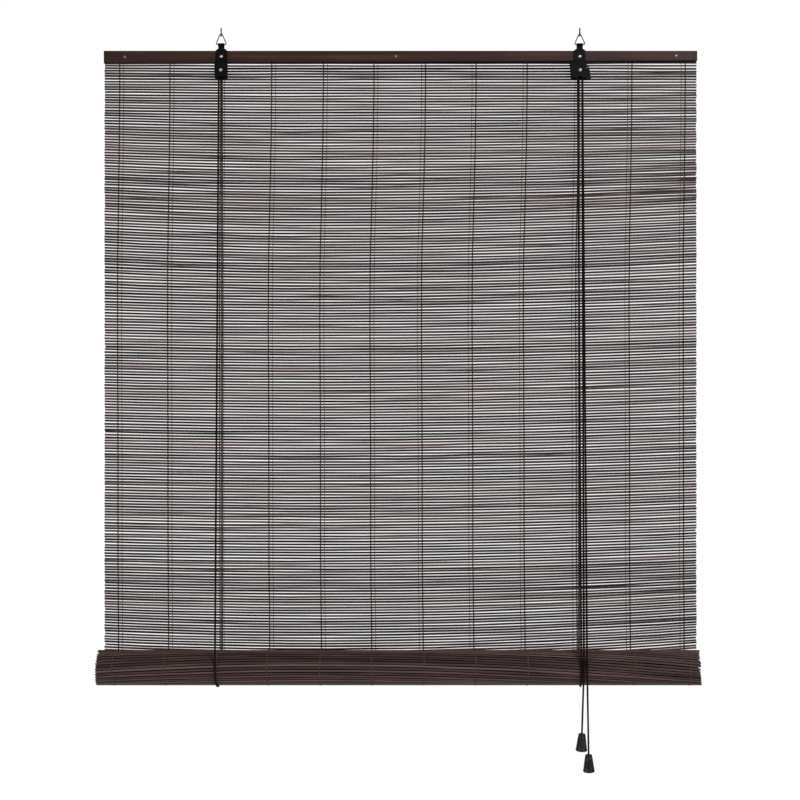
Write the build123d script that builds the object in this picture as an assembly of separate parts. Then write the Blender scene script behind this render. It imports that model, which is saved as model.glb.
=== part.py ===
from build123d import *
import os
from math import acos, atan2, cos, degrees, hypot, pi, radians, sin, tan

# A bamboo roll up blind, hung from two screw hooks and drawn up by two cords.
# Frame, in millimetres: X right along the head rail, Y away from the viewer, Z up.
# The origin is on the ceiling, midway between the two screw hooks.

# ---- Driving dimensions -------------------------------------------------------------

# Screw hooks and the wire rings that hang in them
hook_spacing = 543.0
hook_wire_d = 2.0
hook_thread_length = 5.2
hook_tip_length = 1.6
hook_bend_r = 3.2
hook_neck_r = 1.5
hook_neck_drop = 0.9
hook_crank_drop = 3.1
hook_drop = 7.3
hook_mouth_height = 3.7
ring_wire_d = 1.6
ring_seat_clearance = 0.2
ring_height = 15.0
ring_base_length = 16.4
ring_apex_r = 2.6
ring_corner_r = 1.7

# Head rail: two battens as wide as the mat, with its top clamped between them
rail_top_z = -28.9
rail_height_left = 18.7
rail_height_right = 15.2
batten_depth = 4.0
rivet_drop = 9.4
nail_inset = 32.0
nail_mid_x = -7.0
nail_head_d = 4.2
nail_head_height = 0.9
nail_shank_d = 1.4
nail_length = 8.6

# Mat of split bamboo slats, and the threads that tie them
mat_width = 900.0
slat_pitch = 4.18
slat_height = 2.1
slat_depth = 1.1
mat_top_below_rail_top = 11.1
thread_d = 0.5
thread_clearance = 0.03
thread_stations = 12
thread_end_inset = 20.2
thread_back_shift = 6.0
joint_gap = 0.3

# Roll of mat at the foot of the blind, with a bottom rail inside it
roll_axis_z = -959.6
roll_spread = 9.0
roll_shift_x = -2.5
roll_outer_r = 26.9
roll_turn_pitch = 2.6
roll_half_turns = 11
roll_tuck_r = 4.5
bottom_batten_width = 13.0
bottom_batten_depth = 3.0
bottom_batten_lead = 2.9

# Sheet steel brackets
sheet = 1.0
neck_width = 9.5
neck_foot_z = -26.2
plate_width = 17.5
shoulder_z = -29.0
shelf_z = -47.6
bend_r = 1.2
housing_width = 19.0
lock_left = 15.0
lock_right = 10.5
lock_left_taper = 1.6
lock_right_taper = 1.2
bracket_foot_z = -71.8
foot_corner_r = 2.4
cord_notch_width = 8.0
cord_notch_height = 2.6
eye_turn = 245.0
backing_width = 12.0
backing_top_z = -31.5
backing_foot_z = -53.2

# Rivets, pins and grooved wheels
rivet_d = 3.0
rivet_head_d = 5.4
rivet_head_height = 1.7
rivet_tail_d = 4.4
rivet_tail_height = 0.8
hole_clearance = 0.1
axle_z = -60.2
running_clearance = 0.05
wheel_hub_wall = 0.9
wheel_flange_height = 1.0
wheel_rim = 0.35
wheel_side_clearance = 0.35
groove_wall = 0.4
groove_floor_clearance = 0.05
groove_side_clearance = 0.25
jaw_pin_d = 2.0
jaw_pin_x = 9.8
jaw_pin_z = 3.6
jaw_nose_gap = 0.55
jaw_tooth = 0.7
jaw_teeth = 4

# Cords and tassels
cord_d = 2.3
cord_clearance = 0.3
cord_end_gap = 0.1
anchor_z = -50.0
anchor_bend_r = 2.6
knot_d = 6.0
knot_length = 4.6
knot_fillet = 1.4
sling_leg = 8.0
tassel_height = 26.0
tassel_top_d = 10.3
tassel_foot_d = 16.8
tassel_wall = 1.8
tassel_lid = 5.0
tassel_foot_r = 2.6
tassel_top_r = 0.9
tassel_knot_d = 6.2
tassel_knot_length = 5.2

# Each pull cord's points, from the right hook across and from the roll's axis down
pull_left_roll_x = 0.3
pull_left_tassel_x = -2.7
pull_left_drop = 93.3
pull_right_roll_x = 5.1
pull_right_tassel_x = 7.2
pull_right_drop = 124.4
pull_split_height = 14.0

# ---- Places worked out from them ----------------------------------------------------

hook_x = hook_spacing / 2
rail_width = mat_width
roll_width = mat_width + roll_spread
eye_r = ring_wire_d / 2 + ring_seat_clearance
eye_line_r = eye_r + sheet / 2
ring_apex_z = -hook_drop + (hook_wire_d + ring_wire_d) / 2 + ring_seat_clearance
ring_base_z = ring_apex_z - ring_height

plate_line_y = eye_line_r                     # middle of the front plate's upper part
back_plate_y = plate_line_y + sheet           # middle of the flat back plate
rail_front_y = back_plate_y + sheet / 2
batten_gap = slat_depth + 2 * (thread_d + 2 * thread_clearance)
mat_y = rail_front_y + batten_depth + batten_gap / 2
rail_back_y = mat_y + batten_gap / 2 + batten_depth
cord_r = cord_d / 2
groove_spacing = cord_d + 2 * groove_side_clearance + groove_wall
wheel_width = groove_spacing + cord_d + 2 * (groove_side_clearance + wheel_rim)
cheek_back_y = back_plate_y - sheet / 2       # the two faces that the wheels turn between
cheek_front_y = cheek_back_y - wheel_width - 2 * wheel_side_clearance
housing_line_y = cheek_front_y - sheet / 2
wheel_y = (cheek_back_y + cheek_front_y) / 2
groove_back_y = wheel_y + groove_spacing / 2
groove_front_y = wheel_y - groove_spacing / 2

cord_line_r = rivet_d / 2 + wheel_hub_wall + groove_floor_clearance + cord_r
wheel_flange_r = cord_line_r + wheel_flange_height
rivet_z = rail_top_z - rivet_drop

roll_line_r = roll_outer_r - slat_depth / 2   # middle of the roll's outermost layer
roll_y = mat_y - roll_line_r
roll_left_x = roll_shift_x - roll_width / 2
sling_r = roll_outer_r + cord_clearance + cord_r
sling_front_y = roll_y - sling_r
sling_back_y = roll_y + sling_r
mat_top_z = rail_top_z - mat_top_below_rail_top
thread_step = (mat_width - 2 * thread_end_inset) / (thread_stations - 1)


# ---- Small helpers ------------------------------------------------------------------


def rod(start, end, diameter):
    """A round bar between two points."""
    line = Line(start, end)
    return sweep(Plane(origin=line @ 0, z_dir=line % 0) * Circle(diameter / 2), path=line)


def tube(path, diameter):
    """A round bar bent along a smooth path of lines and arcs."""
    section = Plane(origin=path @ 0, z_dir=path % 0) * Circle(diameter / 2)
    return sweep(section, path=path)


def turned(points, place=Location()):
    """A solid turned about its own Z axis from (radius, height) points."""
    profile = make_face(Plane.XZ * Polyline([(r, z) for r, z in points], close=True))
    return place * revolve(profile, Axis.Z)


def facing(x, y, z):
    """A place whose own +Z points at the viewer, along -Y."""
    return Pos(x, y, z) * Rot(90, 0, 0)


def hole_y(x, z, diameter):
    """A long cutter along Y, for holes through plates and battens."""
    return facing(x, 0, z) * Cylinder(diameter / 2, 200)


def outline_y(points, depth=200):
    """A prism along Y over an (x, z) outline."""
    return extrude(make_face(Plane.XZ * Polyline(points, close=True)), depth / 2, both=True)


def one(*shapes):
    """Several separate solids kept together as one sub-part."""
    return Compound(children=[s for shape in shapes for s in shape.solids()])


# ---- Hooks and rings ----------------------------------------------------------------


def screw_hook(x):
    """Question-mark hook: a pointed shank above the ceiling line and a round bend below it."""
    points = [
        (x, 0, hook_thread_length - hook_tip_length),
        (x, 0, -hook_neck_drop),
        (x, hook_bend_r, -hook_crank_drop),
        (x, hook_bend_r, -hook_drop),
        (x, -hook_bend_r, -hook_drop),
        (x, -hook_bend_r, hook_mouth_height - hook_drop),
    ]
    radii = [hook_neck_r, hook_neck_r, hook_bend_r - 0.05, hook_bend_r - 0.05]
    bend = tube(FilletPolyline(points, radius=radii), hook_wire_d)
    r = hook_wire_d / 2
    base = hook_thread_length - hook_tip_length
    tip = turned([(0, base - 0.01), (r, base - 0.01), (r, base), (0.2, hook_thread_length),
                  (0, hook_thread_length)], Pos(x, 0, 0))
    return bend + tip


def wire_ring(x):
    """Three-sided wire ring: a rounded apex in the hook and a straight base in the eye."""
    half = ring_base_length / 2
    slope = atan2(half, ring_height)
    for _ in range(20):
        peak = ring_height + ring_apex_r * (1 / sin(slope) - 1)
        slope = atan2(half, peak)
    start, end = (x, 0, ring_base_z), (x - half / 2, 0, ring_base_z)
    corners = [start, (x + half, 0, ring_base_z), (x, 0, ring_base_z + peak),
               (x - half, 0, ring_base_z), end]
    bends = FilletPolyline(corners, radius=[ring_corner_r, ring_apex_r, ring_corner_r])
    return tube(Wire(bends.edges() + [Line(end, start).edge()]), ring_wire_d)


# ---- Head rail ----------------------------------------------------------------------


def rail_height_at(x):
    """The battens taper slightly from their left end to their right end."""
    share = (x + rail_width / 2) / rail_width
    return rail_height_left + (rail_height_right - rail_height_left) * share


def nail_places():
    """(x, z) of the three nails, at mid height of the rail."""
    xs = [-rail_width / 2 + nail_inset, nail_mid_x, rail_width / 2 - nail_inset]
    return [(x, rail_top_z - rail_height_at(x) / 2) for x in xs]


def batten(front_y):
    """One tapering batten, drilled for the rivets and the nails."""
    half = rail_width / 2
    board = outline_y([
        (-half, rail_top_z), (half, rail_top_z),
        (half, rail_top_z - rail_height_right), (-half, rail_top_z - rail_height_left)])
    board &= Pos(0, front_y + batten_depth / 2, 0) * Box(2 * rail_width, batten_depth, 400)
    for x in (-hook_x, hook_x):
        board -= hole_y(x, rivet_z, rivet_d + 2 * hole_clearance)
    for x, z in nail_places():
        board -= hole_y(x, z, nail_shank_d + 2 * thread_clearance)
    return board


def rail_nail(x, z):
    """Domed nail driven in from the front."""
    head = [(0, 0), (nail_head_d / 2, 0), (nail_head_d * 0.36, nail_head_height * 0.75),
            (0, nail_head_height)]
    shank = [(0, 0.1), (nail_shank_d / 2, 0.1), (nail_shank_d / 2, 1 - nail_length),
             (0, -nail_length)]
    place = facing(x, rail_front_y, z)
    return turned(head, place) + turned(shank, place)


# ---- Mat ----------------------------------------------------------------------------


def slat_rows():
    """Heights of the slats' middles, from inside the rail down to the roll."""
    first = mat_top_z - slat_height / 2
    last = roll_axis_z + joint_gap + slat_height / 2
    return [first - i * slat_pitch for i in range(int((first - last) / slat_pitch) + 1)]


def mat_slats():
    """Every hanging slat, each a separate strip."""
    return one(*[Pos(0, mat_y, z) * Box(mat_width, slat_depth, slat_height) for z in slat_rows()])


def warp_threads():
    """A front and a back thread at each station, lying against the slats.

    The back thread runs a little nearer to the middle of the mat than the front one."""
    foot = roll_axis_z + joint_gap
    stand = slat_depth / 2 + thread_clearance + thread_d / 2
    threads = []
    for i in range(thread_stations):
        x = -mat_width / 2 + thread_end_inset + i * thread_step
        back_x = x - thread_back_shift if x > 0 else x + thread_back_shift
        for thread_x, thread_y in ((x, mat_y - stand), (back_x, mat_y + stand)):
            place = Pos(thread_x, thread_y, (mat_top_z + foot) / 2)
            threads.append(place * Cylinder(thread_d / 2, mat_top_z - foot))
    return one(*threads)


# ---- Roll ---------------------------------------------------------------------------


def roll_path(offset):
    """Half circles about two centres half a pitch apart, then a tuck to the middle.

    The offset is measured outwards from the middle of the layer. Points are (y, z)."""
    step = roll_turn_pitch / 2
    edges = []
    for i in range(roll_half_turns):
        lower = i % 2 == 0
        centre = (roll_y if lower else roll_y - step, roll_axis_z)
        start = 0 if lower else 180
        edges.append(CenterArc(centre, roll_line_r - i * step + offset, start, -180))
    inner_y = roll_y - (roll_line_r - (roll_half_turns - 1) * step)
    edges.append(CenterArc((inner_y + roll_tuck_r, roll_axis_z), roll_tuck_r + offset, 180, -90))
    return edges, inner_y


def roll_turns():
    """The wound mat as one spiral strip, tucked into the bottom rail."""
    half = slat_depth / 2
    outer, inner_y = roll_path(half)
    inner, _ = roll_path(-half)
    end_y = inner_y + roll_tuck_r + bottom_batten_lead + bottom_batten_width
    tuck_z = roll_axis_z + roll_tuck_r
    edges = list(outer) + list(inner)
    edges.append(Line((roll_y + roll_line_r - half, roll_axis_z),
                      (roll_y + roll_line_r + half, roll_axis_z)))
    edges.append(Line(outer[-1] @ 1, (end_y, tuck_z + half)))
    edges.append(Line((end_y, tuck_z + half), (end_y, tuck_z - half)))
    edges.append(Line((end_y, tuck_z - half), inner[-1] @ 1))
    face = make_face(Wire([edge.edge() for edge in edges]))
    return extrude(Plane(origin=(roll_left_x, 0, 0), x_dir=(0, 1, 0), z_dir=(1, 0, 0)) * face,
                   roll_width)


def bottom_battens():
    """The bottom rail: two thin battens with the end of the mat between them."""
    _, inner_y = roll_path(0)
    y = inner_y + roll_tuck_r + bottom_batten_lead + bottom_batten_width / 2
    lift = (slat_depth + bottom_batten_depth) / 2
    z = roll_axis_z + roll_tuck_r
    board = Box(rail_width, bottom_batten_width, bottom_batten_depth)
    return one(Pos(0, y, z + lift) * board, Pos(0, y, z - lift) * board)


# ---- Brackets -----------------------------------------------------------------------


def neck_outline(x):
    """Left and right sides of the neck and shoulders, from the eye down to the shelf."""
    neck, plate, top = neck_width / 2, plate_width / 2, ring_base_z + 2 * eye_line_r
    left = [(x - plate, shoulder_z), (x - neck, neck_foot_z), (x - neck, top)]
    right = [(x + neck, top), (x + neck, neck_foot_z), (x + plate, shoulder_z)]
    return left, right


def housing_sides(x, locking):
    """The housing's (left, right) half widths at its head and at its foot."""
    if not locking:
        half = housing_width / 2
        return (half, half), (half, half)
    return (lock_left, lock_right), (lock_left - lock_left_taper, lock_right - lock_right_taper)


def plate_outline(x, locking, head_z):
    """Whole outline of a bracket plate seen from the front, wide part starting at head_z."""
    left, right = neck_outline(x)
    head, foot = housing_sides(x, locking)
    plate = plate_width / 2
    return left + right + [
        (x + plate, head_z), (x + head[1], head_z), (x + foot[1], bracket_foot_z),
        (x - foot[0], bracket_foot_z), (x - head[0], head_z), (x - plate, head_z)]


def foot_notch(x):
    """Cutter for the arched notch that the cords leave through."""
    z = bracket_foot_z + cord_notch_height - cord_notch_width / 2
    slot = facing(x, 0, z) * Cylinder(cord_notch_width / 2, 200)
    return slot


def front_plate(x, locking):
    """Strip bent into an eye at the top and stepped forward over the wheel, then trimmed."""
    eye = CenterArc((0, ring_base_z), eye_line_r, 0, eye_turn)
    down = FilletPolyline([
        (plate_line_y, ring_base_z),
        (plate_line_y, shelf_z),
        (housing_line_y, shelf_z),
        (housing_line_y, bracket_foot_z)], radius=bend_r)
    path_plane = Plane(origin=(x, 0, 0), x_dir=(0, 1, 0), z_dir=(1, 0, 0))
    width = 2 * (lock_left + lock_right)
    strip = None
    for run in (eye, down):
        path = path_plane * run
        section = Plane(origin=path @ 0, x_dir=(1, 0, 0), z_dir=path % 0)
        piece = sweep(section * Rectangle(width, sheet), path=path)
        strip = piece if strip is None else strip + piece
    strip &= outline_y(plate_outline(x, locking, shelf_z + sheet))
    strip -= foot_notch(x)
    strip -= hole_y(x, rivet_z, rivet_d + 2 * hole_clearance)
    strip -= hole_y(x, axle_z, rivet_d + 2 * hole_clearance)
    corners = strip.edges().filter_by(Axis.Y).filter_by(
        lambda edge: edge.center().Z < bracket_foot_z + 0.1 and edge.length < 2 * sheet
        and abs(edge.center().X - x) > cord_notch_width / 2 + 1)
    return fillet(corners, foot_corner_r)


def back_plate(x, locking):
    """Flat plate between the front plate and the rail, which also backs the wheel."""
    head, foot = housing_sides(x, locking)
    plate = plate_width / 2
    outline = [
        (x - plate, shoulder_z), (x + plate, shoulder_z), (x + plate, shelf_z),
        (x + head[1], shelf_z), (x + foot[1], bracket_foot_z),
        (x - foot[0], bracket_foot_z), (x - head[0], shelf_z), (x - plate, shelf_z)]
    blank = outline_y(outline)
    blank &= Pos(x, back_plate_y, 0) * Box(200, sheet, 400)
    blank -= hole_y(x, rivet_z, rivet_d + 2 * hole_clearance)
    blank -= hole_y(x, axle_z, rivet_d + 2 * hole_clearance)
    if locking:
        blank -= hole_y(x + jaw_pin_x, axle_z + jaw_pin_z, jaw_pin_d + 2 * hole_clearance)
    return blank


def backing_plate(x):
    """Small plate behind the rail: it spreads the rivet's load and holds the cord's end."""
    height = backing_top_z - backing_foot_z
    blank = Pos(x, rail_back_y + sheet / 2, backing_foot_z + height / 2) * Box(
        backing_width, sheet, height)
    blank = fillet(blank.edges().filter_by(Axis.Y), foot_corner_r)
    blank -= hole_y(x, rivet_z, rivet_d + 2 * hole_clearance)
    blank -= hole_y(x, anchor_z, cord_d + 2 * cord_clearance)
    return blank


def rivet(x, z, front_y, back_y):
    """Domed rivet: its head stands on front_y and its tail is spread on back_y."""
    grip = back_y - front_y
    head_r, r, tail_r = rivet_head_d / 2, rivet_d / 2, rivet_tail_d / 2
    dome = [(head_r * cos(radians(a)), rivet_head_height * sin(radians(a)))
            for a in range(0, 90, 15)]
    points = dome + [(0, rivet_head_height), (0, -grip - rivet_tail_height),
                     (tail_r * 0.8, -grip - rivet_tail_height), (tail_r, -grip - 0.3),
                     (tail_r, -grip), (r, -grip), (r, 0)]
    return turned(points, facing(x, front_y, z))


def cord_wheel(x):
    """Wheel with two round grooves, running on a rivet."""
    reach = cord_r + groove_side_clearance
    wheel = Cylinder(wheel_flange_r, wheel_width)
    mouth = Cylinder(2 * wheel_flange_r, 2 * reach) - Cylinder(cord_line_r, 2 * reach)
    for side in (-1, 1):
        place = Pos(0, 0, side * groove_spacing / 2)
        wheel -= place * Torus(cord_line_r, cord_r + groove_floor_clearance)
        wheel -= place * mouth
    wheel -= Cylinder(rivet_d / 2 + running_clearance, 2 * wheel_width)
    return facing(x, wheel_y, axle_z) * wheel


def lock_jaw():
    """Toothed jaw that pinches the pull cords, with a tail that shows beside the housing."""
    nose = cord_line_r + cord_r + jaw_nose_gap
    pitch = 1.5
    teeth = []
    for i in range(jaw_teeth):
        teeth += [(nose, -4.6 + i * pitch), (nose + jaw_tooth, -4.6 + (i + 0.8) * pitch)]
    points = [(7.6, 6.9), (12.5, 6.9), (13.4, 4.2), (16.4, -12.5), (15.6, -13.4), (9.4, -13.4),
              (6.6, -9.4)] + teeth + [(nose + 1.2, 4.2)]
    x = hook_x
    blank = outline_y([(x + px, axle_z + pz) for px, pz in points])
    blank &= Pos(x, wheel_y, 0) * Box(200, wheel_width - 0.2, 400)
    blank -= hole_y(x + jaw_pin_x, axle_z + jaw_pin_z, jaw_pin_d + 2 * running_clearance)
    return blank


def jaw_pin():
    """Pin staked into the back plate, hidden behind the front plate."""
    reach = cheek_back_y - cheek_front_y - cord_clearance
    r, head_r = jaw_pin_d / 2, jaw_pin_d * 0.85
    points = [(0, reach), (r, reach), (r, -sheet), (head_r, -sheet), (head_r, -sheet - 0.6),
              (0, -sheet - 0.6)]
    return turned(points, facing(hook_x + jaw_pin_x, cheek_back_y, axle_z + jaw_pin_z))


# ---- Cords --------------------------------------------------------------------------


def sling_lean(groove_y):
    """Angle above the roll's front, in degrees, where a cord from a wheel first touches."""
    dy, dz = groove_y - roll_y, axle_z - roll_axis_z
    return degrees(atan2(dz, dy) + acos(sling_r / hypot(dy, dz))) - 180


def front_touch(x, groove_y):
    """Point where the cord from the wheel's left side meets the sling."""
    angle = radians(180 + sling_lean(groove_y))
    return (x - cord_line_r, roll_y + sling_r * cos(angle), roll_axis_z + sling_r * sin(angle))


def sling(x, groove_y):
    """Cord under the roll, from behind the mat to the roll's front."""
    skew = atan2(cord_line_r, 2 * sling_r)
    radius = sling_r / cos(skew)
    lean = sling_lean(groove_y)
    middle = (x - cord_line_r / 2, roll_y, roll_axis_z)
    frame = Plane(origin=middle, x_dir=(sin(skew), cos(skew), 0), z_dir=(cos(skew), -sin(skew), 0))
    leg = Line((radius, sling_leg), (radius, 0))
    under = CenterArc((0, 0), radius, 0, lean - 180)
    return tube(frame * Wire([leg.edge(), under.edge()]), cord_d)


def back_strand(x):
    """Straight cord behind the mat, from the anchor down to the sling."""
    return rod((x, sling_back_y, anchor_z - anchor_bend_r),
               (x, sling_back_y, roll_axis_z + sling_leg), cord_d)


def hanging_rod(start, end):
    """Straight cord that leaves a wheel: its upper end is cut level, to meet the cord above."""
    start, end = Vector(*start), Vector(*end)
    over = start + (start - end).normalized() * cord_d
    level = Pos(start.X, start.Y, start.Z - 1000) * Box(200, 200, 2000)
    return rod(over, end, cord_d) & level


def front_strand(x, groove_y):
    """Straight cord from the wheel's left side down to the roll's front."""
    start, touch = Vector(x - cord_line_r, groove_y, axle_z), Vector(*front_touch(x, groove_y))
    return hanging_rod(start, touch + (start - touch).normalized() * cord_end_gap)


def cord_end(x):
    """Upper end of a cord: it turns back through the backing plate to its knot."""
    path = FilletPolyline([
        (x, sling_back_y, anchor_z - anchor_bend_r),
        (x, sling_back_y, anchor_z),
        (x, rail_back_y + sheet, anchor_z)], radius=anchor_bend_r - 0.001)
    return tube(path, cord_d)


def end_knot(x):
    """Knot behind the backing plate."""
    barrel = Cylinder(knot_d / 2, knot_length)
    barrel = fillet(barrel.edges().filter_by(GeomType.CIRCLE), knot_fillet)
    return facing(x, rail_back_y + sheet + knot_length / 2, anchor_z) * barrel


def cross_cord():
    """Left cord over its wheel, along the foot of the rail and over the lock's wheel."""
    plane = Plane(origin=(0, groove_back_y, 0), x_dir=(1, 0, 0), z_dir=(0, -1, 0))
    up = CenterArc((-hook_x, axle_z), cord_line_r, 180, -90)
    down = CenterArc((hook_x, axle_z), cord_line_r, 90, -90)
    across = Line(up @ 1, down @ 0)
    return tube(plane * Wire([up.edge(), across.edge(), down.edge()]), cord_d)


def lock_cord():
    """Right cord over the lock's wheel."""
    plane = Plane(origin=(0, groove_front_y, 0), x_dir=(1, 0, 0), z_dir=(0, -1, 0))
    over = CenterArc((hook_x, axle_z), cord_line_r, 180, -180)
    return tube(plane * over, cord_d)


def pull_route(groove_y, roll_x, tassel_x, drop):
    """Straight from the lock to the roll's front, over it, and down to the knot's top."""
    lean = radians(sling_lean(groove_y))
    start = Vector(hook_x + cord_line_r, groove_y, axle_z)
    bend = Vector(hook_x + roll_x, sling_front_y, roll_axis_z - sling_r * tan(lean / 2))
    top = Vector(hook_x + tassel_x, sling_front_y, roll_axis_z - drop)
    along = (top - bend).normalized()
    end = top + along * tassel_lid
    split = bend + (start - bend).normalized() * pull_split_height
    return start, split, bend, top, end, along


def pull_cord_upper(route):
    """Straight cord from the lock to just above the roll."""
    start, split, *_ = route
    return hanging_rod(start, split)


def pull_cord_lower(route):
    """Cord over the roll's front and down into the tassel's lid."""
    _, split, bend, _, end, _ = route
    return tube(FilletPolyline([split, bend, end], radius=sling_r), cord_d)


def tassel_place(route):
    """The tassel's own +Z points back up the cord, from the middle of its lid's top."""
    *_, top, _, along = route
    return Plane(origin=top, x_dir=(0, 1, 0), z_dir=along * -1).location


def tassel(route):
    """Hollow cone with a rounded foot, bored through its lid for the cord."""
    top_r, foot_r, h = tassel_top_d / 2, tassel_foot_d / 2, tassel_height
    slope = (foot_r - top_r) / (h - tassel_foot_r)
    shell = turned([(0, 0), (top_r - tassel_top_r, 0), (top_r, -tassel_top_r),
                    (foot_r, tassel_foot_r - h), (foot_r - tassel_foot_r, -h), (0, -h)])
    rim = shell.edges().filter_by(GeomType.CIRCLE).sort_by(Axis.Z)
    shell = fillet(rim[1], tassel_foot_r * 0.9)
    inner_top = top_r + slope * tassel_lid - tassel_wall
    inner_foot = foot_r - tassel_wall - tassel_foot_r * 0.5
    shell -= turned([(0, -tassel_lid), (inner_top, -tassel_lid), (inner_foot, -h - 1), (0, -h - 1)])
    shell -= Pos(0, 0, -tassel_lid / 2) * Cylinder(cord_r + cord_clearance / 2, 2 * tassel_lid)
    return tassel_place(route) * shell


def tassel_knot(route):
    """Knot inside the tassel, under its lid."""
    barrel = Cylinder(tassel_knot_d / 2, tassel_knot_length)
    barrel = fillet(barrel.edges().filter_by(GeomType.CIRCLE), knot_fillet)
    return tassel_place(route) * Pos(0, 0, -tassel_lid - tassel_knot_length / 2) * barrel


# ---- The whole blind ----------------------------------------------------------------

pull_left = pull_route(groove_back_y, pull_left_roll_x, pull_left_tassel_x, pull_left_drop)
pull_right = pull_route(groove_front_y, pull_right_roll_x, pull_right_tassel_x, pull_right_drop)

parts = {
    "front_batten": batten(rail_front_y),
    "rear_batten": batten(rail_back_y - batten_depth),
    "rail_nails": one(*[rail_nail(x, z) for x, z in nail_places()]),
    "mat_slats": mat_slats(),
    "warp_threads": warp_threads(),
    "roll_turns": roll_turns(),
    "bottom_battens": bottom_battens(),
    "lock_jaw": lock_jaw(),
    "jaw_pin": jaw_pin(),
    "left_cord_across": cross_cord(),
    "right_cord_over_wheel": lock_cord(),
}
for side, x, locking, groove_y, route in (
        ("left", -hook_x, False, groove_back_y, pull_left),
        ("right", hook_x, True, groove_front_y, pull_right)):
    parts[f"screw_hook_{side}"] = screw_hook(x)
    parts[f"wire_ring_{side}"] = wire_ring(x)
    parts[f"bracket_front_{side}"] = front_plate(x, locking)
    parts[f"bracket_back_{side}"] = back_plate(x, locking)
    parts[f"backing_plate_{side}"] = backing_plate(x)
    parts[f"rail_rivet_{side}"] = rivet(x, rivet_z, plate_line_y - sheet / 2,
                                        rail_back_y + sheet)
    parts[f"axle_rivet_{side}"] = rivet(x, axle_z, cheek_front_y - sheet, cheek_back_y + sheet)
    parts[f"cord_wheel_{side}"] = cord_wheel(x)
    parts[f"{side}_cord_end"] = cord_end(x)
    parts[f"{side}_cord_knot"] = end_knot(x)
    parts[f"{side}_cord_back_strand"] = back_strand(x)
    parts[f"{side}_cord_sling"] = sling(x, groove_y)
    parts[f"{side}_cord_front_strand"] = front_strand(x, groove_y)
    parts[f"pull_cord_{side}_upper"] = pull_cord_upper(route)
    parts[f"pull_cord_{side}_lower"] = pull_cord_lower(route)
    parts[f"tassel_{side}"] = tassel(route)
    parts[f"tassel_knot_{side}"] = tassel_knot(route)

os.makedirs("parts", exist_ok=True)
for name, shape in parts.items():
    export_step(shape, f"parts/{name}.step")

# The bends of the cords, for the record
layers = [roll_line_r - i * roll_turn_pitch / 2 for i in range(roll_half_turns)]
print("arc radii: sling", round(sling_r, 2), "wheel", round(cord_line_r, 2),
      "anchor", round(anchor_bend_r, 2))
print("wound length", round(pi * sum(layers) + bottom_batten_width, 1))
print("joint axes z: hook bend", round(hook_bend_r - hook_drop, 3), "eye", round(ring_base_z, 3))
print("roll axis y", round(roll_y, 3), "mat y", round(mat_y, 3), "wheel y", round(wheel_y, 3))
for name, route in (("left", pull_left), ("right", pull_right)):
    print("pull cord", name, [tuple(round(v, 2) for v in point) for point in route[:5]])
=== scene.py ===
"""A bamboo roll up blind, dressed round its construction model.

All lengths are metres, in the model's own frame: X right along the head rail, Y away from the room
and Z up, with the origin on the ceiling midway between the two screw hooks.
"""
from __future__ import annotations

import logging
import math
from dataclasses import dataclass, field
from enum import Enum

import bmesh
import bpy
import numpy as np
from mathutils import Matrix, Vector
from numpy.typing import NDArray

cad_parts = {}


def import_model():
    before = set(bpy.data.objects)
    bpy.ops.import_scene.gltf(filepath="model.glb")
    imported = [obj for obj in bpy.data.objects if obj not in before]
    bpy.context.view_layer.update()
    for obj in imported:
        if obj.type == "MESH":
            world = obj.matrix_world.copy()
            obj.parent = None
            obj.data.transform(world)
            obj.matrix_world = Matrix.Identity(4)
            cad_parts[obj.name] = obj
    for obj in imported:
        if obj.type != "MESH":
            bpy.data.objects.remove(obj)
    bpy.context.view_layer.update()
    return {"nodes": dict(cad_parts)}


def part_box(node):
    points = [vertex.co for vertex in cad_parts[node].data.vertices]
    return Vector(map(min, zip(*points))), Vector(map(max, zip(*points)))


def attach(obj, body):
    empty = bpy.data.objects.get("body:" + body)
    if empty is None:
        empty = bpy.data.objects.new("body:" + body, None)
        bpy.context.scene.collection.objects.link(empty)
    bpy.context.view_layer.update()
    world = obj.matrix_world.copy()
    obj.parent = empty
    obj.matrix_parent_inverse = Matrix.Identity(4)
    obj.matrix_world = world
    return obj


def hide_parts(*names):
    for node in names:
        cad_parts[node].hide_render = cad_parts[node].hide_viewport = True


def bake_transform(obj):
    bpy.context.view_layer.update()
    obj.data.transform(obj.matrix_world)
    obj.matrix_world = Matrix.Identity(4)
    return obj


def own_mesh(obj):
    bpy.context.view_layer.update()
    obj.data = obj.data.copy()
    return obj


Array = NDArray[np.float64]
Colour = tuple[float, float, float]
Point = tuple[float, float, float]
log = logging.getLogger("blind")

MM = 0.001


class Side(Enum):
    """The two hanging points of the blind, seen from the room."""

    LEFT = "left"
    RIGHT = "right"

    @property
    def sign(self) -> int:
        """Minus one at the left and one at the right."""
        return -1 if self is Side.LEFT else 1


# ---- Meshes --------------------------------------------------------------------------


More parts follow.
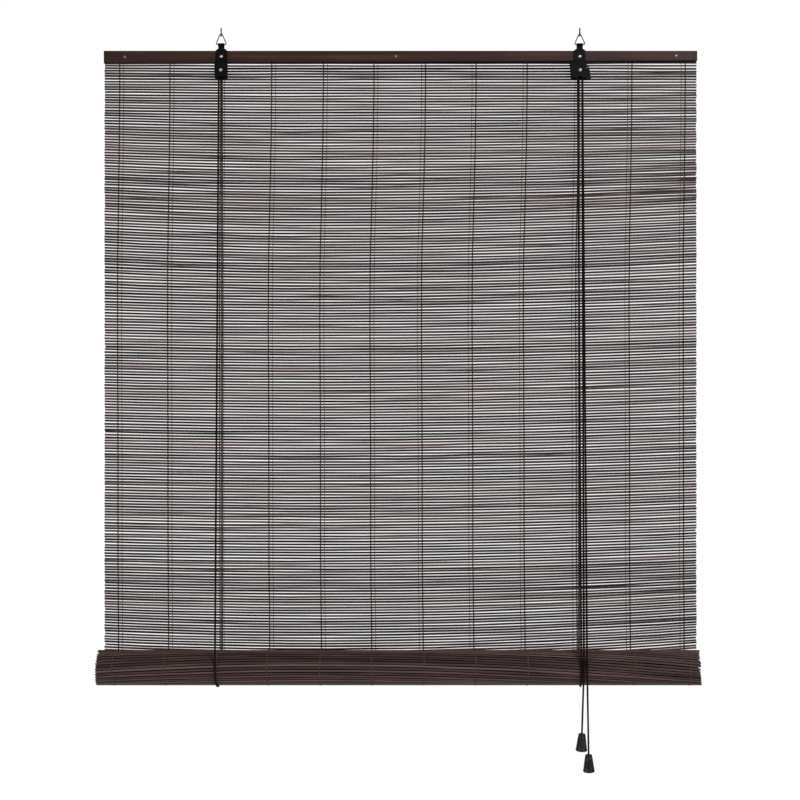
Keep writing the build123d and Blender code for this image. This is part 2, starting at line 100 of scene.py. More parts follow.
def strips_mesh(name: str, rings: Array) -> bpy.types.Mesh:
    """Mesh of closed strips, each one a profile carried through a row of rings.

    Point j of ring i of strip s has index (s * n + i) * m + j. A side face joins points j and j + 1
    of ring i to the same two of ring i + 1, and the first and last rings close the ends.

    Args:
        name: The mesh's name.
        rings: Points of shape (strips, rings, points round, 3).

    Returns:
        The mesh, with its faces outwards.
    """
    strips, count, around, _ = rings.shape
    index = np.arange(strips * count * around).reshape(strips, count, around)
    beside = np.roll(index, -1, axis=2)
    sides = np.stack([index[:, :-1], beside[:, :-1], beside[:, 1:], index[:, 1:]], axis=-1)
    caps = np.concatenate([index[:, 0, ::-1], index[:, -1]])
    loops = np.concatenate([sides.ravel(), caps.ravel()]).astype(np.int32)
    totals = np.concatenate([np.full(sides.size // 4, 4), np.full(len(caps), around)])
    starts = np.concatenate([[0], np.cumsum(totals)[:-1]])
    mesh = bpy.data.meshes.new(name)
    mesh.vertices.add(index.size)
    mesh.vertices.foreach_set("co", rings.reshape(-1).astype(np.float32))
    mesh.loops.add(len(loops))
    mesh.loops.foreach_set("vertex_index", loops)
    mesh.polygons.add(len(totals))
    mesh.polygons.foreach_set("loop_start", starts.astype(np.int32))
    mesh.polygons.foreach_set("loop_total", totals.astype(np.int32))
    mesh.update(calc_edges=True)
    mesh.validate()
    face_outwards(mesh)
    return mesh


def face_outwards(mesh: bpy.types.Mesh) -> None:
    """Turns a closed mesh's faces round when the volume that they enclose is negative."""
    work = bmesh.new()
    work.from_mesh(mesh)
    if work.calc_volume(signed=True) < 0:
        bmesh.ops.reverse_faces(work, faces=work.faces)
        work.to_mesh(mesh)
    work.free()


def add_piece(mesh: bpy.types.Mesh, finish: Finish, body: str | None,
              crease: float = 40.0) -> bpy.types.Object:
    """Puts a mesh in the scene as a named piece, at the origin.

    Args:
        mesh: The finished mesh, with its place in its points.
        finish: What it is painted with.
        body: The construction body that it rides on, or None for none.
        crease: Edges that turn by more than this many degrees stay sharp.

    Returns:
        The new object.
    """
    piece = bpy.data.objects.new(mesh.name, mesh)
    bpy.context.scene.collection.objects.link(piece)
    mesh.materials.append(finish.material())
    mesh.shade_smooth()
    mesh.set_sharp_from_angle(angle=math.radians(crease))
    if body is not None:
        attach(piece, body)
    log.info("%s: %d faces on %s", piece.name, len(mesh.polygons), body or "two bodies")
    return piece


def point_values(mesh: bpy.types.Mesh, name: str, values: Array) -> None:
    """Stores one number a point under a name that a material can read."""
    layer = mesh.attributes.new(name, "FLOAT", "POINT")
    layer.data.foreach_set("value", values.reshape(-1).astype(np.float32))


def unit(vectors: Array) -> Array:
    """Each row divided by its own length."""
    return vectors / np.maximum(np.linalg.norm(vectors, axis=-1, keepdims=True), 1e-12)


def tube_rings(path: Array, radius: float, across: Point = (1.0, 0.0, 0.0), around: int = 10,
               flatten: float = 1.0) -> Array:
    """Rings of a round tube: the path's point plus radius * (cos a * u + sin a * v).

    u is the across direction made square to the path, and v is square to both.

    Args:
        path: Points of shape (n, 3).
        radius: Half the tube's width.
        across: A direction that the path never takes.
        around: Points in a ring.
        flatten: Depth over width, under 1 for a flat tape.

    Returns:
        Points of shape (n, around, 3).
    """
    along = unit(np.gradient(path, axis=0))
    side = np.asarray(across, float)
    u = unit(side - (along @ side)[:, None] * along)
    v = np.cross(along, u)
    angle = np.arange(around) * 2 * np.pi / around
    ring = np.cos(angle)[None, :, None] * u[:, None] + flatten * np.sin(angle)[None, :, None] * v[:, None]
    return path[:, None] + radius * ring


def lathe_mesh(name: str, profile: Array, top: Point, along: Point, around: int = 40) -> bpy.types.Mesh:
    """A closed shape turned about a line: top + height * along + radius * (cos a * u + sin a * v).

    Args:
        name: The mesh's name.
        profile: Rows of (radius, distance down the line), from pole to pole.
        top: Where the line starts.
        along: The line's direction.
        around: Points in a ring.

    Returns:
        The mesh, whose two poles are single points.
    """
    axis = unit(np.asarray(along, float)[None])[0]
    u = unit(np.cross(axis, (0.0, 1.0, 0.0))[None])[0]
    v = np.cross(axis, u)
    angle = np.arange(around) * 2 * np.pi / around
    ring = np.cos(angle)[:, None] * u + np.sin(angle)[:, None] * v
    centre = np.asarray(top, float) + profile[:, 1, None] * axis
    points = centre[:, None] + profile[:, 0, None, None] * ring
    mesh = strips_mesh(name, points[None])
    work = bmesh.new()
    work.from_mesh(mesh)
    bmesh.ops.remove_doubles(work, verts=work.verts, dist=1e-6)
    bmesh.ops.recalc_face_normals(work, faces=work.faces)
    work.to_mesh(mesh)
    work.free()
    face_outwards(mesh)
    return mesh


# ---- Finishes ------------------------------------------------------------------------


class Nodes:
    """A material's node tree, with short ways to add to it."""

    def __init__(self, material: bpy.types.Material) -> None:
        """Starts from the material's own shader."""
        self.tree = material.node_tree
        self.shader = self.tree.nodes["Principled BSDF"]

    def add(self, kind: str, **settings: object) -> bpy.types.Node:
        """Adds a node of that kind and sets its properties."""
        node = self.tree.nodes.new(kind)
        for key, value in settings.items():
            setattr(node, key, value)
        return node

    def link(self, source: bpy.types.NodeSocket, target: bpy.types.NodeSocket) -> None:
        """Joins an output to an input."""
        self.tree.links.new(source, target)

    def stretched(self, scale: Point) -> bpy.types.NodeSocket:
        """Object coordinates multiplied by a scale on each axis."""
        place = self.add("ShaderNodeTexCoord")
        mapping = self.add("ShaderNodeMapping")
        mapping.inputs["Scale"].default_value = scale
        self.link(place.outputs["Object"], mapping.inputs["Vector"])
        return mapping.outputs["Vector"]

    def noise(self, vector: bpy.types.NodeSocket, scale: float = 1.0, detail: float = 3.0,
              roughness: float = 0.55) -> bpy.types.NodeSocket:
        """Soft noise from 0 to 1."""
        node = self.add("ShaderNodeTexNoise")
        node.inputs["Scale"].default_value = scale
        node.inputs["Detail"].default_value = detail
        node.inputs["Roughness"].default_value = roughness
        self.link(vector, node.inputs["Vector"])
        return node.outputs["Fac"]

    def spread(self, value: bpy.types.NodeSocket, low: float, high: float,
               out: tuple[float, float] = (0.0, 1.0)) -> bpy.types.NodeSocket:
        """A value's stretch from low to high carried to the out range, and held there."""
        node = self.add("ShaderNodeMapRange")
        node.inputs["From Min"].default_value = low
        node.inputs["From Max"].default_value = high
        node.inputs["To Min"].default_value = out[0]
        node.inputs["To Max"].default_value = out[1]
        self.link(value, node.inputs["Value"])
        return node.outputs["Result"]

    def sum(self, first: bpy.types.NodeSocket, second: bpy.types.NodeSocket | float,
            operation: str = "ADD") -> bpy.types.NodeSocket:
        """Two values added, or joined by another operation."""
        node = self.add("ShaderNodeMath", operation=operation)
        self.link(first, node.inputs[0])
        if isinstance(second, float):
            node.inputs[1].default_value = second
        else:
            self.link(second, node.inputs[1])
        return node.outputs[0]

    def ramp(self, value: bpy.types.NodeSocket, stops: list[tuple[float, Colour]]) -> bpy.types.NodeSocket:
        """A colour that follows a value through the stops."""
        node = self.add("ShaderNodeValToRGB")
        ramp = node.color_ramp
        while len(ramp.elements) < len(stops):
            ramp.elements.new(0.5)
        for element, (position, colour) in zip(ramp.elements, stops):
            element.position = position
            element.color = (*colour, 1.0)
        self.link(value, node.inputs["Fac"])
        return node.outputs["Color"]

    def mix(self, share: bpy.types.NodeSocket, first: bpy.types.NodeSocket,
            second: Colour) -> bpy.types.NodeSocket:
        """A colour that goes over to a plain one by a share."""
        node = self.add("ShaderNodeMix", data_type="RGBA")
        colour_a, colour_b, colour_out = 6, 7, 2
        self.link(share, node.inputs["Factor"])
        self.link(first, node.inputs[colour_a])
        node.inputs[colour_b].default_value = (*second, 1.0)
        return node.outputs[colour_out]

    def attribute(self, name: str) -> bpy.types.NodeSocket:
        """The number stored under a name on the piece's points."""
        return self.add("ShaderNodeAttribute", attribute_name=name).outputs["Fac"]

    def bump(self, height: bpy.types.NodeSocket, depth: float, strength: float = 1.0) -> None:
        """Raises the surface by a height times a depth in metres."""
        node = self.add("ShaderNodeBump")
        node.inputs["Strength"].default_value = strength
        node.inputs["Distance"].default_value = depth
        self.link(height, node.inputs["Height"])
        self.link(node.outputs["Normal"], self.shader.inputs["Normal"])

    def colour(self, source: bpy.types.NodeSocket) -> None:
        """Feeds the shader's base colour."""
        self.link(source, self.shader.inputs["Base Color"])

    def rough(self, source: bpy.types.NodeSocket) -> None:
        """Feeds the shader's roughness."""
        self.link(source, self.shader.inputs["Roughness"])


@dataclass(frozen=True)
class Finish:
    """A surface finish, made into one material the first time that it is asked for."""

    name: str
    roughness: float = 0.5
    specular: float = 0.5
    metallic: float = 0.0

    def material(self) -> bpy.types.Material:
        """The finish's material."""
        found = bpy.data.materials.get(self.name)
        if found is not None:
            return found
        material = bpy.data.materials.new(self.name)
        material.use_nodes = True
        nodes = Nodes(material)
        nodes.shader.inputs["Roughness"].default_value = self.roughness
        nodes.shader.inputs["Specular IOR Level"].default_value = self.specular
        nodes.shader.inputs["Metallic"].default_value = self.metallic
        self.dress(nodes)
        return material

    def dress(self, nodes: Nodes) -> None:
        """Adds what is particular to the finish."""

    def paint(self, node: bpy.types.Object) -> None:
        """Puts the material in each of a construction node's slots."""
        for place in node.material_slots:
            place.material = self.material()


@dataclass(frozen=True)
class StainedBamboo(Finish):
    """Split bamboo under a dark stain: long fibres, and a tone of its own for each strip, shifted by
    painted light and shade.
    """

    dark: Colour = (0.0070, 0.0040, 0.0038)
    middle: Colour = (0.0560, 0.0300, 0.0285)
    warm: Colour = (0.1450, 0.0850, 0.0760)

    def dress(self, nodes: Nodes) -> None:
        """Fibres run along X; the tone_and_shade attribute shifts the whole strip, by its random tone and
        by painted light and shade that follow its place on the mat.
        """
        fibres = nodes.noise(nodes.stretched((14.0, 1400.0, 1400.0)), detail=4.0, roughness=0.62)
        patches = nodes.noise(nodes.stretched((7.0, 60.0, 60.0)), detail=2.0)
        # tone_and_shade holds each strip's random tone plus painted shade on the hanging part and inside
        # the roll, and painted light on the roll's outer turn.
        tone_and_shade = nodes.attribute("tone_and_shade")
        mixed = nodes.sum(nodes.sum(fibres, 0.45, "MULTIPLY"), nodes.sum(patches, 0.30, "MULTIPLY"))
        value = nodes.sum(mixed, nodes.sum(tone_and_shade, 0.42, "MULTIPLY"))
        colour = nodes.ramp(value, [(0.26, self.dark), (0.52, self.middle), (0.82, self.warm)])
        nodes.colour(colour)
        nodes.rough(nodes.spread(fibres, 0.3, 0.7, (self.roughness - 0.10, self.roughness + 0.14)))
        nodes.bump(fibres, 0.00025, 0.6)


@dataclass(frozen=True)
class StainedTimber(Finish):
    """Planed softwood under a red-brown stain, darker along the edges and at the ends."""

    dark: Colour = (0.0120, 0.0050, 0.0040)
    middle: Colour = (0.0400, 0.0150, 0.0115)
    light: Colour = (0.0920, 0.0330, 0.0240)

    def dress(self, nodes: Nodes) -> None:
        """Broad grain and fine pores run along X; the rim attribute darkens the edges."""
        grain = nodes.noise(nodes.stretched((3.2, 160.0, 210.0)), detail=4.0, roughness=0.6)
        pores = nodes.noise(nodes.stretched((28.0, 1500.0, 1900.0)), detail=2.0)
        clouds = nodes.noise(nodes.stretched((9.0, 40.0, 40.0)), detail=2.0)
        value = nodes.sum(nodes.sum(grain, 0.55, "MULTIPLY"), nodes.sum(pores, 0.22, "MULTIPLY"))
        value = nodes.sum(value, nodes.sum(clouds, 0.28, "MULTIPLY"))
        colour = nodes.ramp(value, [(0.36, self.dark), (0.53, self.middle), (0.72, self.light)])
        colour = nodes.mix(nodes.attribute("rim"), colour, self.dark)
        nodes.colour(colour)
        nodes.rough(nodes.spread(pores, 0.3, 0.7, (self.roughness - 0.06, self.roughness + 0.12)))
        nodes.bump(nodes.sum(grain, pores), 0.00018, 0.5)


@dataclass(frozen=True)
class BlackEnamel(Finish):
    """Black paint on pressed sheet steel, slightly uneven, with grey showing on the rubbed spots."""

    base: Colour = (0.0016, 0.0015, 0.0016)
    rubbed: Colour = (0.0070, 0.0067, 0.0068)

    def dress(self, nodes: Nodes) -> None:
        """Fine orange peel under sparse rubbed patches."""
        peel = nodes.noise(nodes.stretched((900.0, 900.0, 900.0)), detail=2.0)
        worn = nodes.noise(nodes.stretched((240.0, 240.0, 240.0)), detail=5.0, roughness=0.7)
        share = nodes.spread(worn, 0.58, 0.74)
        nodes.colour(nodes.ramp(share, [(0.0, self.base), (1.0, self.rubbed)]))
        nodes.rough(nodes.spread(worn, 0.35, 0.7, (self.roughness, self.roughness + 0.2)))
        nodes.bump(peel, 0.00012, 0.5)


@dataclass(frozen=True)
class BrightSteel(Finish):
    """Zinc plated steel wire and rivets, dulled here and there."""

    bright: Colour = (0.58, 0.57, 0.55)
    dull: Colour = (0.30, 0.29, 0.28)

    def dress(self, nodes: Nodes) -> None:
        """Cloudy plating with drawing marks in the gloss."""
        clouds = nodes.noise(nodes.stretched((420.0, 420.0, 420.0)), detail=4.0)
        marks = nodes.noise(nodes.stretched((2600.0, 2600.0, 700.0)), detail=2.0)
        nodes.colour(nodes.ramp(clouds, [(0.36, self.dull), (0.62, self.bright)]))
        nodes.rough(nodes.spread(marks, 0.3, 0.7, (self.roughness - 0.08, self.roughness + 0.14)))


@dataclass(frozen=True)
class BraidedCord(Finish):
    """Polyester cord braided from fine ends; UV u runs round it and v along it in millimetres."""

    dark: Colour = (0.0040, 0.0030, 0.0028)
    light: Colour = (0.0120, 0.0088, 0.0080)
    ends: float = 8.0
    lay_mm: float = 5.2

    def dress(self, nodes: Nodes) -> None:
        """Two sets of opposite spirals cross in a plait, the greater of the two on top; the colour follows
        its height, with painted shade in the grooves.
        """
        uv = nodes.add("ShaderNodeUVMap", uv_map="braid")
        parts = nodes.add("ShaderNodeSeparateXYZ")
        nodes.link(uv.outputs["UV"], parts.inputs["Vector"])
        turn = nodes.sum(parts.outputs["X"], self.ends / 2, "MULTIPLY")
        rise = nodes.sum(parts.outputs["Y"], self.ends / 2 / self.lay_mm, "MULTIPLY")
        waves = []
        for operation in ("ADD", "SUBTRACT"):
            phase = nodes.sum(nodes.sum(turn, rise, operation), 2 * math.pi, "MULTIPLY")
            waves.append(nodes.sum(phase, 0.0, "SINE"))
        plait = nodes.sum(waves[0], waves[1], "MAXIMUM")
        fuzz = nodes.noise(nodes.stretched((1500.0, 1500.0, 1500.0)), detail=2.0)
        height = nodes.sum(plait, nodes.sum(fuzz, 0.5, "MULTIPLY"))
        # Painted shade: the colour darkens with the plait's height down into the grooves between strands,
        # with random fuzz on top.
        nodes.colour(nodes.ramp(nodes.spread(height, -0.4, 1.5), [(0.1, self.dark), (0.95, self.light)]))
        nodes.bump(height, 0.00018, 0.9)


@dataclass(frozen=True)
class SpunThread(Finish):
    """Twisted cotton yarn that ties the strips."""

    dark: Colour = (0.0110, 0.0070, 0.0054)
    light: Colour = (0.0600, 0.0370, 0.0270)

    def dress(self, nodes: Nodes) -> None:
        """Slanting plies with a little fluff; the colour is partly painted shade between the plies and
        partly random fluff.
        """
        plies = nodes.add("ShaderNodeTexWave", bands_direction="DIAGONAL")
        plies.inputs["Scale"].default_value = 1.0
        plies.inputs["Distortion"].default_value = 1.5
        nodes.link(nodes.stretched((900.0, 900.0, 700.0)), plies.inputs["Vector"])
        fluff = nodes.noise(nodes.stretched((260.0, 260.0, 90.0)), detail=3.0)
        # Partly painted shade: the colour darkens in the troughs between plies; the fluff share is random
        # tone.
        value = nodes.sum(nodes.sum(plies.outputs["Fac"], 0.45, "MULTIPLY"),
                          nodes.sum(fluff, 0.55, "MULTIPLY"))
        nodes.colour(nodes.ramp(value, [(0.2, self.dark), (0.85, self.light)]))
        nodes.bump(plies.outputs["Fac"], 0.0001, 0.6)


@dataclass(frozen=True)
class MouldedPlastic(Finish):
    """Dark moulded plastic with a fine grain in its gloss and painted highlight streaks along Z."""

    base: Colour = (0.0070, 0.0068, 0.0071)
    highlight_streak_colour: Colour = (0.0520, 0.0500, 0.0510)

    def dress(self, nodes: Nodes) -> None:
        """Painted highlight streaks run along Z, over a fine moulded grain."""
        grain = nodes.noise(nodes.stretched((1800.0, 1800.0, 1800.0)), detail=2.0)
        # Painted highlight: lighter streaks along Z stand in for the gloss on the sides.
        highlight_streaks = nodes.noise(nodes.stretched((420.0, 420.0, 70.0)), detail=4.0, roughness=0.65)
        share = nodes.spread(highlight_streaks, 0.46, 0.70)
        nodes.colour(nodes.ramp(share, [(0.0, self.base), (1.0, self.highlight_streak_colour)]))
        nodes.rough(nodes.spread(highlight_streaks, 0.35, 0.7, (self.roughness, self.roughness + 0.16)))
        nodes.bump(grain, 0.00006, 0.5)


@dataclass(frozen=True)
class Palette:
    """Every finish of the blind."""

    bamboo: Finish = StainedBamboo("stained_bamboo", roughness=0.50, specular=0.25)
    timber: Finish = StainedTimber("stained_timber", roughness=0.42, specular=0.18)
    enamel: Finish = BlackEnamel("black_enamel", roughness=0.40, specular=0.09)
    steel: Finish = BrightSteel("bright_steel", roughness=0.38, metallic=1.0)
    wire: Finish = BrightSteel("drawn_wire", roughness=0.42, metallic=1.0, bright=(0.15, 0.15, 0.15),
                               dull=(0.045, 0.045, 0.045))
    nail: Finish = BrightSteel("dull_nail", roughness=0.55, metallic=1.0, bright=(0.36, 0.32, 0.28),
                               dull=(0.16, 0.14, 0.12))
    cord: Finish = BraidedCord("braided_cord", roughness=0.80, specular=0.08)
    thread: Finish = SpunThread("spun_thread", roughness=0.85, specular=0.12)
    worn_thread: Finish = SpunThread("worn_thread", roughness=0.85, specular=0.12,
                                     dark=(0.050, 0.026, 0.022), light=(0.125, 0.068, 0.056))
    tassel: Finish = MouldedPlastic("moulded_bell", roughness=0.30, specular=0.22)
    wheel: Finish = MouldedPlastic("moulded_wheel", roughness=0.50, specular=0.25,
                                   base=(0.006, 0.006, 0.007), highlight_streak_colour=(0.018, 0.018, 0.019))


# ---- Studio --------------------------------------------------------------------------


@dataclass
class Studio:
    """Camera, soft lights, a pale floor and a white surround."""

    camera_distance: float = 2.170
    frame_width: float = 1.216
    sensor: float = 36.0
    aim: Point = (-0.00076, 0.00811, -0.5586)
    floor_z: float = -3.0

    def camera(self) -> None:
        """A level camera square to the blind; its lens makes the frame that wide at the mat."""
        data = bpy.data.cameras.new("camera")
        data.sensor_width = self.sensor
        data.lens = self.sensor * self.camera_distance / self.frame_width
        data.clip_end = 50.0
        camera = bpy.data.objects.new("camera", data)
        camera.location = Vector(self.aim) - Vector((0.0, self.camera_distance, 0.0))
        camera.rotation_euler = (math.radians(90.0), 0.0, 0.0)
        bpy.context.scene.collection.objects.link(camera)
        bpy.context.scene.camera = camera

    def area_light(self, name: str, place: Point, target: Point, size: float, power: float) -> None:
        """A square soft light that faces a target."""
        data = bpy.data.lights.new(name, "AREA")
        data.shape = "SQUARE"
        data.size = size
        data.energy = power
        light = bpy.data.objects.new(name, data)
        light.location = place
        light.rotation_euler = (Vector(target) - Vector(place)).to_track_quat("-Z", "Y").to_euler()
        bpy.context.scene.collection.objects.link(light)

    def surround(self, seen: float = 1.0, lighting: float = 0.29) -> None:
        """White where the eye sees past the blind, and a softer even light on everything."""
        world = bpy.data.worlds.new("surround")
        bpy.context.scene.world = world
        world.use_nodes = True
        tree = world.node_tree
        tree.nodes.clear()
        light = tree.nodes.new("ShaderNodeBackground")
        light.inputs["Strength"].default_value = lighting
        view = tree.nodes.new("ShaderNodeBackground")
        view.inputs["Strength"].default_value = seen
        for shade in (light, view):
            shade.inputs["Color"].default_value = (1.0, 1.0, 1.0, 1.0)
        kind = tree.nodes.new("ShaderNodeLightPath")
        mix = tree.nodes.new("ShaderNodeMixShader")
        out = tree.nodes.new("ShaderNodeOutputWorld")
        tree.links.new(kind.outputs["Is Camera Ray"], mix.inputs["Fac"])
        tree.links.new(light.outputs["Background"], mix.inputs[1])
        tree.links.new(view.outputs["Background"], mix.inputs[2])
        tree.links.new(mix.outputs["Shader"], out.inputs["Surface"])

    def floor(self, half: float = 6.4) -> None:
        """A plain pale floor, low enough for the pull cords at full lift."""
        mesh = bpy.data.meshes.new("floor")
        corners = [(-half, -half, self.floor_z), (half, -half, self.floor_z),
                   (half, half, self.floor_z), (-half, half, self.floor_z)]
        mesh.from_pydata(corners, [], [(0, 1, 2, 3)])
        material = bpy.data.materials.new("floor")
        material.use_nodes = True
        shader = material.node_tree.nodes["Principled BSDF"]
        shader.inputs["Base Color"].default_value = (0.8, 0.8, 0.79, 1.0)
        shader.inputs["Roughness"].default_value = 0.9
        shader.inputs["Emission Color"].default_value = (1.0, 1.0, 0.99, 1.0)
        shader.inputs["Emission Strength"].default_value = 0.34
        mesh.materials.append(material)
        floor = bpy.data.objects.new("floor", mesh)
        bpy.context.scene.collection.objects.link(floor)

    def build(self) -> None:
        """Sets the whole studio up."""
        bpy.context.scene.view_settings.view_transform = "Standard"
        self.camera()
        middle = (0.0, 0.0, self.aim[2])
        self.area_light("key", (1.5, -2.2, 1.2), middle, 1.2, 60.0)
        self.area_light("fill", (-2.1, -1.9, 0.2), middle, 1.8, 20.0)
        self.area_light("back", (0.9, 1.9, 0.8), middle, 1.4, 10.0)
        self.surround()
        self.floor()


# ---- Where the mat and the cords run --------------------------------------------------


@dataclass(frozen=True)
class Winding:
    """The mat's course: straight down behind the roll, then round it in half turns.

    Distance is measured along the mat, from level with the roll's axis: less than 0 is the hanging
    part and more is wound. Half turn i is an arc of radius line_r - i * step, and the odd ones,
    over the top, are centred one step nearer to the room.
    """

    mat_y: float = 8.11 * MM
    axis_z: float = -959.6 * MM
    line_r: float = 26.35 * MM
    step: float = 1.3 * MM
    half_turns: int = 11

    @property
    def axis_y(self) -> float:
        """The roll's axis, in front of the mat."""
        return self.mat_y - self.line_r

    @property
    def radii(self) -> Array:
        """Radius of each half turn."""
        return self.line_r - np.arange(self.half_turns) * self.step

    @property
    def length(self) -> float:
        """Length of mat in the whole winding."""
        return float(np.pi * self.radii.sum())

    def place(self, distance: Array) -> tuple[Array, Array]:
        """Where the mat is, and which way its back faces, at some distances along it.

        On half turn i the angle is -pi * i less the distance into it over its radius.

        Args:
            distance: Distances of any shape.

        Returns:
            (y, z) of the mat's middle, and the unit (y, z) of its outer face, each with a last
            axis of 2.
        """
        begins = np.concatenate([[0.0], np.pi * np.cumsum(self.radii)])
        turn = np.clip(np.searchsorted(begins, distance, side="right") - 1, 0, self.half_turns - 1)
        radius = self.radii[turn]
        angle = -np.pi * turn - (np.maximum(distance, 0.0) - begins[turn]) / radius
        out = np.stack([np.cos(angle), np.sin(angle)], axis=-1)
        centre_y = self.axis_y - self.step * (turn % 2)
        centre = np.stack([centre_y, np.full_like(centre_y, self.axis_z)], axis=-1)
        wound = centre + radius[..., None] * out
        hanging = np.stack([np.full_like(distance, self.mat_y), self.axis_z - distance], axis=-1)
        loose = (distance < 0)[..., None]
        return np.where(loose, hanging, wound), np.where(loose, np.array([1.0, 0.0]), out)


@dataclass(frozen=True)
class Lift:
    """How far the blind goes up."""

    travel: float = 0.85

    def shorten(self, piece: bpy.types.Object, top: tuple[float, float], foot: tuple[float, float]) -> None:
        """Gives the piece a mesh of its own; it shortens nothing.

        Args:
            piece: The mesh.
            top: A height at rest and at full lift; not used.
            foot: Another height at rest and at full lift; not used.
        """
        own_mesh(piece)


# ---- Head rail -----------------------------------------------------------------------


@dataclass
class HeadRail:
    """Two stained battens that pinch the mat, with bevelled edges and a slight taper."""

    finishes: Palette
    half_width: float = 450.0 * MM
    top_z: float = -28.9 * MM
    height_left: float = 18.7 * MM
    height_right: float = 15.2 * MM
    depth: float = 4.0 * MM
    bevel: float = 0.7 * MM
    rim: float = 1.3 * MM
    unevenness: float = 0.12 * MM
    stations: int = 90

    def height(self, x: Array) -> Array:
        """The battens taper evenly from the left end to the right one."""
        share = (x + self.half_width) / (2 * self.half_width)
        return self.height_left + (self.height_right - self.height_left) * share

    def outline(self) -> tuple[Array, Array, Array]:
        """Points round a batten's end, down the room's face and up the other one.

        Each long face has a bevel, a rim line and a middle line. A point's height is named by where
        it hangs from, as a share of the batten's height, and by how far it is from there.

        Returns:
            Rows of (share, distance), then how far in each point is, and how dark its rim is.
        """
        b, r, d = self.bevel, self.rim, self.depth
        shift = [b * 0.3, b, r, 0, r, b, b * 0.3, 0, 0, b * 0.3, b, r, 0, r, b, b * 0.3, 0, 0]
        anchor = [0, 0, 0, 0.5, 1, 1, 1, 1, 1, 1, 1, 1, 0.5, 0, 0, 0, 0, 0]
        depth = [b * 0.3, 0, 0, 0, 0, 0, b * 0.3, b, d - b,
                 d - b * 0.3, d, d, d, d, d, d - b * 0.3, d - b, b]
        dark = [1, 0.85, 0.25, 0, 0.25, 0.85, 1, 0.9, 0.9, 1, 0.85, 0.25, 0, 0.25, 0.85, 1, 0.9, 0.9]
        return np.array([anchor, shift], float), np.array(depth), np.array(dark)

    def batten(self, node: str, seed: int) -> bpy.types.Object:
        """Carries the outline along the rail, with a foot that wanders a little, as planed wood does."""
        rng = np.random.default_rng(seed)
        front_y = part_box(node)[0][1]
        x = np.linspace(-self.half_width, self.half_width, self.stations)
        (anchor, shift), depth, dark = self.outline()
        height = self.height(x)[:, None]
        drop = anchor * height + np.where(anchor < 0.5, shift, -shift)
        wander = rng.normal(0.0, 1.0, (self.stations, len(depth)))
        window = np.hanning(9)
        kernel = window / window.sum()
        wander = np.apply_along_axis(lambda line: np.convolve(line, kernel, "same"), 0, wander)
        points = np.empty((self.stations, len(depth), 3))
        points[..., 0] = x[:, None]
        points[..., 1] = front_y + depth
        points[..., 2] = self.top_z - drop - self.unevenness * np.abs(wander) * (anchor == 1)
        mesh = strips_mesh(f"{node}_planed", points[None])
        ends = np.zeros((self.stations, len(depth)))
        ends[[0, -1]] = 0.7
        point_values(mesh, "rim", np.maximum(np.broadcast_to(dark, ends.shape), ends))
        piece = add_piece(mesh, self.finishes.timber, "headrail", crease=75.0)
        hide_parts(node)
        return piece

    def build(self) -> None:
        """Makes both battens."""
        self.batten("front_batten", 11)
        self.batten("rear_batten", 12)


# ---- Mat -----------------------------------------------------------------------------


